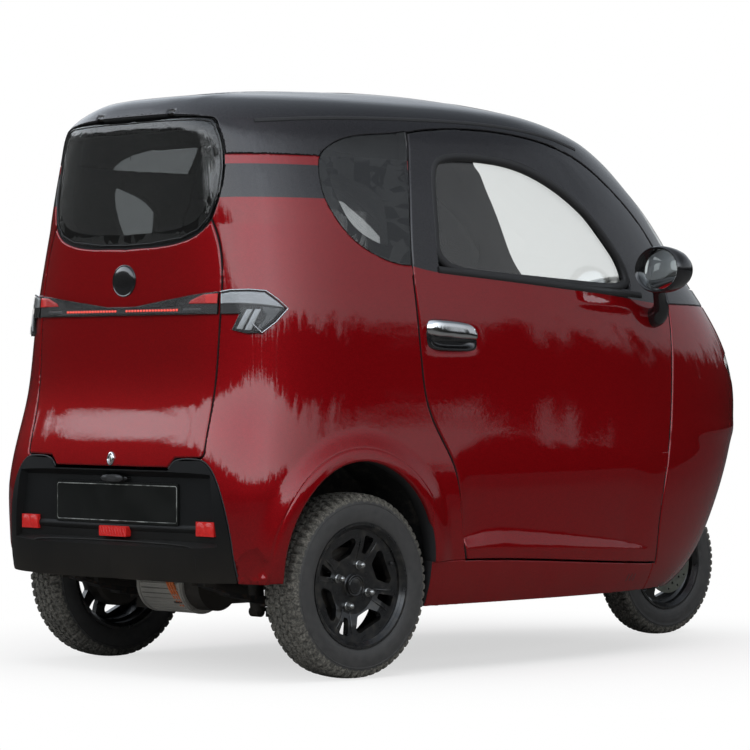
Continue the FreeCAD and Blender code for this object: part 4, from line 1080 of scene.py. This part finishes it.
# The red lens and the red diodes carry a painted glow, emitted light that brightens them under the
# dark cover.
red_lens = lamp_plastic("red_lens", (0.42, 0.01, 0.012), (0.78, 0.045, 0.03), 0.1,
                        painted_glow=(0.1, 0.002, 0.002))
led_finish = lamp_plastic("red_diode", (0.8, 0.06, 0.045), (0.95, 0.16, 0.12), 0.15,
                          painted_glow=(1.0, 0.1, 0.07))
cover_finish = grained("lamp_cover", (noise, 50.0, 4.0), (0.05, 0.052, 0.054),
                       (0.1, 0.102, 0.104), (0.06, 0.0),
                       also={"Alpha": 0.22, "Coat Weight": 1.0, "Coat Roughness": 0.02})


def on_corner(line, sign):
    """Points (along the corner, height) as seen from 45 degrees behind, laid on the skin."""
    starts = [(AXLE_X - 0.25 + 0.7071 * u, sign * (0.25 + 0.7071 * u), z) for u, z in line]
    return cast(starts, (-0.7071, sign * 0.7071, 0))


def slab(parts, outline, low, high, place_at, bevel=0.12, step=0.004, rings=5, soft=True):
    """A plate with an upright edge: its outline laid on the skin between two heights."""
    ring = eased(outline, step, True) if soft else dense(outline, step)
    verts, faces = parts
    base = len(verts)
    edge = high * (1 - bevel) + low * bevel
    for level in (low, edge):
        verts.extend(map(tuple, place_at(ring, np.full(len(ring), level))))
    grid_faces(faces, base, 2, len(ring), False, True)
    disc_patch(parts, ring, lambda share, q: high if share < 0.98 else edge, place_at, rings)


def shell(gain, high, low):
    """The height rule of a clear cover that rises from its edge to a nearly level face."""
    return lambda share, q: high * min(1.0, (1 - share) * gain) ** 0.5 if share < 1 else low


LAMP = mm("37,963 37,1020 62,1024.5 110,1025 150,1021.5 180,999 204,976 175,941 142,913 "
          "102,912 66,921 86,963")
LAMP_TOP = mm("38,990 38,1015 62,1019.5 108,1020.5 147,1017.5 176,996 196,978.5 150,985 "
              "100,989")
LAMP_TIP = mm("140,980 196,975.5 172,944.5 141,917 122,917 150,948 153,968")
STRIPES = (mm("104,974 119,974 94,922 79,924"),
           mm("125,974 140,974 115,920 100,921"))
TRIM = mm("37,1020.5 62,1025 110,1025.5 151,1022 181,999.5 205.2,976 175.5,940 142.5,912.5")
TRIM_OPEN = 27   # points of the closing side that the trim leaves out
for side, sign in SIDES:
    at_corner = laid(on_corner, sign)
    parts = ([], [])
    slab(parts, LAMP, -0.004, 0.0085, at_corner, 0.1, 0.004, 7, False)
    housing = new_piece("lamp_housing_" + side, parts, "body", housing_finish, 35)
    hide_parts("tail_lamps")
    parts = ([], [])
    slab(parts, LAMP_TOP, 0.006, 0.0112, at_corner, 0.3, 0.004, 6, False)
    for stripe in STRIPES:
        slab(parts, stripe, 0.006, 0.0108, at_corner, 0.3, 0.004, 3, False)
    new_piece("lamp_reflectors_" + side, parts, "body", silver_finish, 35)
    parts = ([], [])
    slab(parts, LAMP_TIP, 0.006, 0.0108, at_corner, 0.3, 0.004, 6, False)
    new_piece("lamp_tip_" + side, parts, "body", dim_finish, 35)
    parts = ([], [])
    edge = dense(TRIM, 0.004)[:-TRIM_OPEN]
    tube(parts, at_corner(edge, np.full(len(edge), 0.0118)), [0.0016] * len(edge), 8)
    new_piece("lamp_trim_" + side, parts, "body", chrome_finish, 50)
    parts = ([], [])
    disc_patch(parts, dense(LAMP, 0.004), shell(12, 0.0135, 0.0088), at_corner, 26)
    new_piece("lamp_cover_" + side, parts, "body", cover_finish, 50)

BAR = mm("-373,963 373,963 373,1021.5 327,1018.5 270,1002 240,986.5 -240,986.5 -270,1002 "
         "-327,1018.5 -373,1021.5")
BULB = mm("277,991.5 372,991 372,1016.5 328,1014.5 285,1000")
FLANK = mm("255,972 325,972 322,979 258,979")
at_tail = laid(on_tail)
parts = ([], [])
slab(parts, BAR, -0.004, 0.0085, at_tail, 0.12, 0.005, 6, False)
bar = new_piece("lamp_bar_housing", parts, "rear_gate", housing_finish, 35)
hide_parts("tailgate_lamp_bar")
for name, outline, high, rings, finish, slot_name in (
        ("lamp_bar_red", BULB, 0.0112, 5, red_lens, "red_lens"),
        ("lamp_bar_grey", FLANK, 0.0105, 3, dim_finish, "lamp_lens")):
    parts = ([], [])
    for sign in (-1, 1):
        slab(parts, [(sign * y, z) for y, z in outline][::sign], 0.006, high, at_tail, 0.3, 0.004,
             rings, False)
    new_piece(name, parts, "rear_gate", finish, 35)
parts = ([], [])
for sign in (-1, 1):
    spots, ways = on_tail([(sign * (0.024 + 0.0122 * k), 0.9752) for k in range(18)], 0.0083)
    for spot, way in zip(spots, ways):
        lathe(parts, mm("3.4,0 3.3,1.2 2.2,2.4 0,2.9"), 12,
              facing(spot, way), (1.25, 1.0))
new_piece("lamp_bar_diodes", parts, "rear_gate", led_finish, 50)
parts = ([], [])
disc_patch(parts, dense(BAR, 0.006), shell(9, 0.0128, 0.0088), at_tail, 16)
new_piece("lamp_bar_cover", parts, "rear_gate", cover_finish, 50)


# Small fittings on the tailgate: a plain domed disc where a badge would sit, a chrome lock
# with its keyhole, the barrels of the two hinges, and the rubber edge strip round the glass.
def tail_button(name, z, profile, turns, squash, finish, smooth=35):
    parts = ([], [])
    spot, way = on_tail([(0.0, z)])
    lathe(parts, profile, turns, facing(spot[0], way[0]), squash)
    new_piece(name, parts, "rear_gate", finish, smooth)


tail_button("badge_blank", 1.057,
            mm("30.5,-1 30.5,1.8 29.2,3 27.5,2.4 26.2,3.6 18,5.2 9,6 0,6.2"), 56, (1.62, 1.42),
            gloss_finish)
tail_button("lock_ring", 0.58, mm("15,-1 15,2.2 13.8,4.2 11.8,4.5 10.5,2.5 10.3,-0.5"), 36,
            (0.92, 1.25), chrome_finish, 50)
tail_button("lock_barrel", 0.58, mm("10.2,-1 10.2,1.2 9,2 0,2.1"), 30, (0.92, 1.15),
            plated_finish)
parts = ([], [])
slab(parts, mm("-1.1,574 1.1,574 1.1,586 -1.1,586"), 0.001, 0.0026, at_tail, 0.1, 0.002, 2, False)
new_piece("keyhole", parts, "rear_gate", rubber_finish, 35)

GATE_AXIS = (-1.102, 1.504)
parts = ([], [])
for sign in (-1, 1):
    start = (GATE_AXIS[0], sign * 0.15 - 0.0115, GATE_AXIS[1])
    lathe(parts, mm("6.8,0 7.5,0.8 7.5,22.2 6.8,23 0,23"), 28, facing(start, (0, 1, 0), (0, 0, 1)))
new_piece("hinge_barrels", parts, "rear_gate", steel_paint, 40)

GLASS_EDGE = mm("0,1152.5 104,1155.5 228,1167.5 286,1187.5 322.5,1222 340.5,1290 342.5,1350 "
                "331,1418.5 314,1457 300,1473.5 270.5,1480 140,1482.5")
ring = GLASS_EDGE + [(0.0, 1.4825)] + [(-y, z) for y, z in reversed(GLASS_EDGE[1:])]
parts = ([], [])
ribbon(parts, *on_tail(dense(ring, 0.008), -0.0045), rounded(0.0042, 0.004), True)
new_piece("rear_glass_seal", parts, "rear_gate", rubber_finish, 50)


# Rear bumper: black grained plastic with a step for the plate. The plate is blank, and the
# lamps on it are red mouldings clipped into their own pockets.
bumper_finish, tree, shader, place = new_finish("grained_bumper")
patch = noise(tree, place, 5.0, 5.0)
low = stretch(tree, put(tree, "SeparateXYZ", {0: place}).outputs["Z"], 0.42, 0.26)
soil = math_node(tree, "MULTIPLY", math_node(tree, "MULTIPLY", low, patch), 0.5)
dark = blend_colour(tree, patch, (0.005, 0.0055, 0.0058, 1), (0.01, 0.0106, 0.0108, 1))
give(shader, {"Base Color": blend_colour(tree, soil, dark, (0.045, 0.036, 0.026, 1)),
              "Roughness": math_node(tree, "MULTIPLY_ADD", patch, 0.12, 0.46),
              "Specular IOR Level": 0.12,
              "Normal": bumpy(tree, cells(tree, place, 420.0), 0.22, 0.0005)})
plate_finish = grained("blank_plate", (noise, 14.0, 6.0), (0.0045, 0.0055, 0.005),
                       (0.013, 0.014, 0.013), (0.22, 0.26), also={"Specular IOR Level": 0.15})
edge_finish = grained("worn_plate_edge", (noise, 30.0, 8.0), (0.05, 0.055, 0.05),
                      (0.34, 0.36, 0.34), (0.3, 0.25), (0.4, 0.6))
dress(bumper_finish, "rear_bumper")
dress(plate_finish, "number_plate")
# The reflectors and the fog lamp take the red lens finish, with its faint painted glow.
dress(red_lens, "rear_reflectors", "rear_fog_lamp")

FIELD_X = -1.173
LEDGE = mm("-405,400.5 -200,398.5 0,398 200,398.5 405,400.5")
TAPER = mm("13,-1 7,2.6 1.5,5.2 -3,5.2 -9,2.2 -14,-1")
RECESS = mm("-350,292 -352,330 -335,352 -300,358 0,362 300,358 335,352 352,330 350,292")
EDGE_LINE = mm("240,557.2 266,583.3 347,585.3 384,577.2 418.5,542 446.8,481 466.8,390.5 "
               "476.8,270")
PLATE_EDGE = mm("-249,413.5 249,413.5 253.5,418 253.5,506 249,510.5 -249,510.5 -253.5,506 "
                "-253.5,418")


def on_wall(line, x):
    """Points (y, z) on an upright wall that faces the rear, and the way out of it."""
    return np.array([(x, y, z) for y, z in line]), np.tile([-1.0, 0.0, 0.0], (len(line), 1))


def oblong(y, z, wide, tall):
    return [(y - wide, z - tall), (y + wide, z - tall), (y + wide, z + tall), (y - wide, z + tall)]


parts = ([], [])
ribbon(parts, *on_wall(eased(LEDGE, 0.012), FIELD_X + 0.001), TAPER)
ribbon(parts, *on_tail(eased(RECESS, 0.01), -0.0022), rounded(0.0055, 0.0016, 4))
new_piece("bumper_folds", parts, "body", bumper_finish, 60)
parts = ([], [])
for sign in (-1, 1):
    ribbon(parts, *on_tail([(sign * y, z) for y, z in eased(EDGE_LINE, 0.008)], -0.0022),
           rounded(0.0042, 0.002, 4))
new_piece("bumper_edge_strip", parts, "body", rubber_finish, 60)
parts = ([], [])
plate_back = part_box("number_plate")[0][0]
ribbon(parts, *on_wall(dense(PLATE_EDGE, 0.01), plate_back + 0.0002), rounded(0.0026, 0.0011, 4),
       True)
new_piece("plate_edge", parts, "body", edge_finish, 60)

parts = ([], [])
for wide, tall, out in ((0.046, 0.0105, 0.022), (0.058, 0.0055, 0.014)):
    slab(parts, oblong(0.0, 0.528, wide, tall), -0.002, out, laid(on_wall, FIELD_X), 0.15, 0.004, 3)
new_piece("plate_lamp", parts, "body", plastic_finish, 35)
parts = ([], [])
at_reflector = laid(on_wall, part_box("rear_reflectors")[0][0])
for sign in (-1, 1):
    for mid in (0.354, 0.39):
        slab(parts, oblong(sign * mid, 0.402, 0.0165, 0.0175), -0.002, 0.0022, at_reflector,
             0.4, 0.003, 3)
fog_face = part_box("rear_fog_lamp")[0][0]
for k in range(9):
    y = -0.048 + 0.012 * k
    tube(parts, [(fog_face + 0.0004, y - 0.004, 0.3755), (fog_face + 0.0002, y, 0.386),
                 (fog_face + 0.0004, y + 0.004, 0.3965)], [0.0012, 0.0022, 0.0012], 8)
# The reflector ribs share the red lens finish and its painted glow.
new_piece("red_lens_ribs", parts, "body", red_lens, 35)


# Under the tail: leaf springs clamped to a tube axle, with a finned aluminium motor beside
# it. Orange cables run in clips along the motor's housing and up to the deck.
spring_finish = grained("spring_steel", (noise, 70.0, 8.0, 0.7), (0.02, 0.02, 0.021),
                        (0.09, 0.055, 0.035), 0.55, (0.5, 0.72), (0.3, 0.001),
                        {"Metallic": 0.3})
orange_finish = grained("orange_sleeve", (wave, 260.0, 1.5), (0.42, 0.085, 0.015),
                        (0.7, 0.19, 0.045), 0.5, bump=(0.3, 0.0008))
liner_finish = grained("arch_liner", (noise, 30.0, 9.0, 0.7), (0.007, 0.007, 0.007),
                       (0.06, 0.052, 0.042), 0.85, (0.5, 0.75), (0.35, 0.0015))
mat_finish = grained("floor_mat", (noise, 300.0, 4.0), (0.018, 0.018, 0.019),
                     (0.05, 0.05, 0.051), 0.8, bump=(0.4, 0.0015, wave, 45.0, 0.0, "Y"))
dress(spring_finish, "leaf_springs")
dress(cast_finish, "motor")
dress(liner_finish, "arch_liners", "front_bulkhead")
dress(mat_finish, "floor_pan")

MOTOR = Vector((-0.904, 0, 0.235))
parts = ([], [])
motor_hub = facing((-0.904, -0.0415, 0.235), (0, 1, 0), (0, 0, 1))
lathe(parts, mm("79.5,2 83.5,3 83.5,10 79.5,12"), 56, motor_hub)
lathe(parts, mm("79.5,176 83.5,178 83.5,186 78,187.5"), 56, motor_hub)
for k in range(34):
    angle = 2 * math.pi * k / 34
    if abs(math.sin(angle - math.pi)) < 0.9 and math.cos(angle) > 0.72:
        continue
    foot = MOTOR + Vector((math.cos(angle), 0, math.sin(angle))) * 0.0795
    tube(parts, [foot + Vector((0, y, 0)) for y in (-0.026, -0.022, 0.128, 0.132)],
         [0.0012, 0.003, 0.003, 0.0012], 8)
new_piece("motor_fins", parts, "body", cast_finish, 35)
parts = ([], [])
for k in range(3):
    y = -0.012 + 0.011 * k
    tube(parts, bent([(-0.955, y - 0.02, 0.176), (-0.975, y - 0.012, 0.2),
                      (-0.9895, y, 0.235), (-0.9865, y + 0.012, 0.262),
                      (-0.97, y + 0.02, 0.3)], 26), [0.0042] * 26, 12)
new_piece("phase_cables", parts, "body", orange_finish, 40)
parts = ([], [])
for x, y, z in ((-0.962, -0.008, 0.188), (-0.9835, 0.006, 0.276)):
    slab(parts, oblong(y, z, 0.026, 0.006), -0.004, 0.006, laid(on_wall, x), 0.3, 0.004, 3)
new_piece("cable_clips", parts, "body", rubber_finish, 35)


# Seats: cut foam under stitched black imitation leather, on a steel base. The covers are
# sewn from panels with a piped edge, and each pad swells a little between its seams.
cover_leather, tree, shader, place = new_finish("seat_leather")
pores = put(tree, "TexVoronoi", {"Vector": place, "Scale": 520.0}, feature="DISTANCE_TO_EDGE")
pore = stretch(tree, pores.outputs["Distance"], 0.0, 0.12)
crease = noise(tree, place, 26.0, 6.0)
give(shader, {"Base Color": blend_colour(tree, crease, (0.02, 0.02, 0.022, 1),
                                         (0.05, 0.049, 0.05, 1)),
              "Roughness": math_node(tree, "MULTIPLY_ADD", crease, 0.25, 0.38),
              "Normal": bumpy(tree, math_node(tree, "MULTIPLY_ADD", crease, 0.8, pore),
                              0.12, 0.0006)})
thread_finish = grained("seat_thread", (wave, 700.0), (0.22, 0.02, 0.02), (0.42, 0.05, 0.045), 0.7)
PAD_STEP = 0.011     # size of the foam's cells
PAD_SWELL = 0.022    # the furthest that a cover may move out
PAD_ROUND = 0.032    # rounding of a pad's corners


def evaluated(thing):
    return thing.evaluated_get(bpy.context.evaluated_depsgraph_get())


def swollen_pad(name, size, lift, channels):
    """A foam pad: a rounded block is blown up as cloth, then its sewn channels are pressed in."""
    bm = bmesh.new()
    bmesh.ops.create_cube(bm, size=1.0)
    for v in bm.verts:
        v.co = Vector([c * (side - 2 * PAD_SWELL * share)
                       for c, side, share in zip(v.co, size, (0.7, 0.5, 0.55))])
    bmesh.ops.bevel(bm, geom=bm.edges[:], offset=PAD_ROUND, segments=4, affect="EDGES")
    mesh = bpy.data.meshes.new(name)
    bm.to_mesh(mesh)
    bm.free()
    pad = bpy.data.objects.new(name, mesh)
    bpy.context.scene.collection.objects.link(pad)
    remesh = pad.modifiers.new("foam", "REMESH")
    remesh.mode = "VOXEL"
    remesh.voxel_size = PAD_STEP
    flat = bpy.data.meshes.new_from_object(evaluated(pad))
    pad.modifiers.clear()
    pad.data = flat
    start = np.array([v.co for v in flat.vertices])
    cloth = pad.modifiers.new("cover", "CLOTH")
    cloth.settings.use_pressure = True
    cloth.settings.uniform_pressure_force = 4.0
    cloth.settings.effector_weights.gravity = 0.0
    cloth.settings.tension_stiffness = 20
    cloth.settings.compression_stiffness = 20
    cloth.settings.bending_stiffness = 2.0
    cloth.point_cache.frame_start = 1
    cloth.point_cache.frame_end = 20
    for step in range(1, 21):
        bpy.context.scene.frame_set(step)
    blown = np.array([v.co for v in evaluated(pad).data.vertices])
    pad.modifiers.clear()
    bpy.context.scene.frame_set(1)
    move = blown - start
    reach = np.linalg.norm(move, axis=1)[:, None]
    start = start + move * np.minimum(1, PAD_SWELL / np.maximum(reach, 1e-6))
    for axis, at, wide, deep in channels:
        near = np.exp(-((start[:, axis] - at) / wide) ** 2)
        top = rise(start[:, 2], size[2] * 0.05, size[2] * 0.35)
        start[:, 2] -= deep * near * top
    half = np.array(size) / 2
    for v, place in zip(flat.vertices, np.clip(start, -half, half)):
        v.co = place
    for poly in flat.polygons:
        poly.use_smooth = True
    flat.materials.append(cover_leather)
    finer = pad.modifiers.new("finer", "SUBSURF")
    finer.levels = finer.render_levels = 1
    pad.matrix_world = lift
    done = bpy.data.meshes.new_from_object(evaluated(pad))
    done.transform(lift)
    bpy.data.objects.remove(pad)
    piece = bpy.data.objects.new(name, done)
    bpy.context.scene.collection.objects.link(piece)
    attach(piece, "body")
    return piece


def leant(foot, tilt, up):
    """A backrest pad's frame: it leans back by a few degrees, with its middle up along it."""
    turn = Matrix.Rotation(math.radians(90), 4, "Y")
    lean = Matrix.Rotation(math.radians(tilt), 4, "Y")
    return Matrix.Translation(foot) @ lean @ Matrix.Translation((0, 0, up)) @ turn


SEAT_SEAMS = ((1, -0.135, 0.007, 0.012), (1, 0.135, 0.007, 0.012))
BENCH_SEAMS = ((1, 0.0, 0.008, 0.014), (1, -0.27, 0.006, 0.01), (1, 0.27, 0.006, 0.01))
cushion_frame = Matrix.Translation((0.366, 0.0, 0.5003))
back_frame = leant((0.156, 0, 0.535), -10, 0.3)
cushion = swollen_pad("seat_cushion", (0.43, 0.45, 0.09), cushion_frame,
                      SEAT_SEAMS + ((0, -0.06, 0.006, 0.01), (0, 0.05, 0.006, 0.01)))
backrest = swollen_pad("seat_back", (0.6, 0.45, 0.1), back_frame,
                       SEAT_SEAMS + ((0, -0.12, 0.006, 0.01), (0, 0.02, 0.006, 0.01)))
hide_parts("driver_seat")
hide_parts("driver_seat")
bench_pad = swollen_pad("bench_cushion", (0.442, 0.79, 0.11),
                        Matrix.Translation((-0.684, 0.0, 0.6783)), BENCH_SEAMS)
bench_back = swollen_pad("bench_back", (0.44, 0.79, 0.09),
                         leant((-0.924, 0, 0.637), -8, 0.22), BENCH_SEAMS)
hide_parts("rear_bench")
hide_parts("rear_bench")

parts = ([], [])
for pad_frame, depth, tall in ((cushion_frame, 0.43, 0.09), (back_frame, 0.6, 0.1)):
    ring = eased(oblong(0.0, 0.0, depth / 2 - 0.014, 0.45 / 2 - 0.014), 0.01, True)
    line = [pad_frame @ Vector((a, b, tall * 0.28)) for a, b in ring]
    line.append(line[0])
    tube(parts, line, [0.0035] * len(line), 8, False)
new_piece("seat_piping", parts, "body", thread_finish, 60)


# Dashboard and wheel: a moulded shelf with a hooded dial pod, and a pale rimmed steering
# wheel on a steel column. The pod's glass is dark and its dials are bare.
pale_finish = grained("pale_wheel_rim", (noise, 20.0, 6.0), (0.42, 0.42, 0.41),
                      (0.62, 0.62, 0.6), (0.2, 0.35), bump=(0.2, 0.0006, cells, 700.0))
dress(plastic_finish, "dashboard")
dress(pale_finish, "steering_wheel")

WHEEL_TILT = math.radians(27)
wheel_hub = facing((0.656, 0.0, 1.02), (-math.sin(WHEEL_TILT), 0, math.cos(WHEEL_TILT)), (0, 1, 0))
parts = ([], [])
lathe(parts, mm("0,16.5 20,16 38,14.5 44.5,11 45,7 43,5"), 48, wheel_hub)
new_piece("horn_pad", parts, "hand_wheel", plastic_finish, 35)

POD = mm("-150,980 -145,1025 -110,1048 110,1048 145,1025 150,980")
SCREEN = mm("-118,990 -116,1024 -96,1036 96,1036 116,1024 118,990")
parts = ([], [])
slab(parts, POD, 0.0, 0.11, laid(on_wall, 0.862), 0.15, 0.008, 6)
new_piece("dial_pod", parts, "body", plastic_finish, 35)
parts = ([], [])
slab(parts, SCREEN, 0.0, 0.0035, laid(on_wall, 0.7515), 0.4, 0.006, 4)
new_piece("dial_glass", parts, "body", gloss_finish, 35)


# Headlamps: a clear cover over two silvered reflectors, each with a chrome ring round it.
# The unit clips into the nose from inside.
dress(clear_glass, "headlamps")
bowls, rims = ([], []), ([], [])
for sign in (-1, 1):
    for y, z, r in ((0.232, 0.815, 0.026), (0.292, 0.82, 0.022)):
        spot, way = cast([(AXLE_X + 1.0, sign * y, z)], (1, 0, 0), -0.02)
        seat = facing(spot[0], way[0])
        lathe(bowls, [(r * 1.02, 0.006), (r * 0.98, 0.004), (r * 0.8, -0.006),
                      (r * 0.45, -0.012), (0.0, -0.013)], 36, seat)
        lathe(rims, [(r * 1.06, 0.002), (r * 1.07, 0.007), (r * 1.02, 0.008),
                     (r * 0.99, 0.005)], 36, seat)
new_piece("headlamp_bowls", bowls, "body", silver_finish, 50)
new_piece("headlamp_rings", rims, "body", chrome_finish, 50)
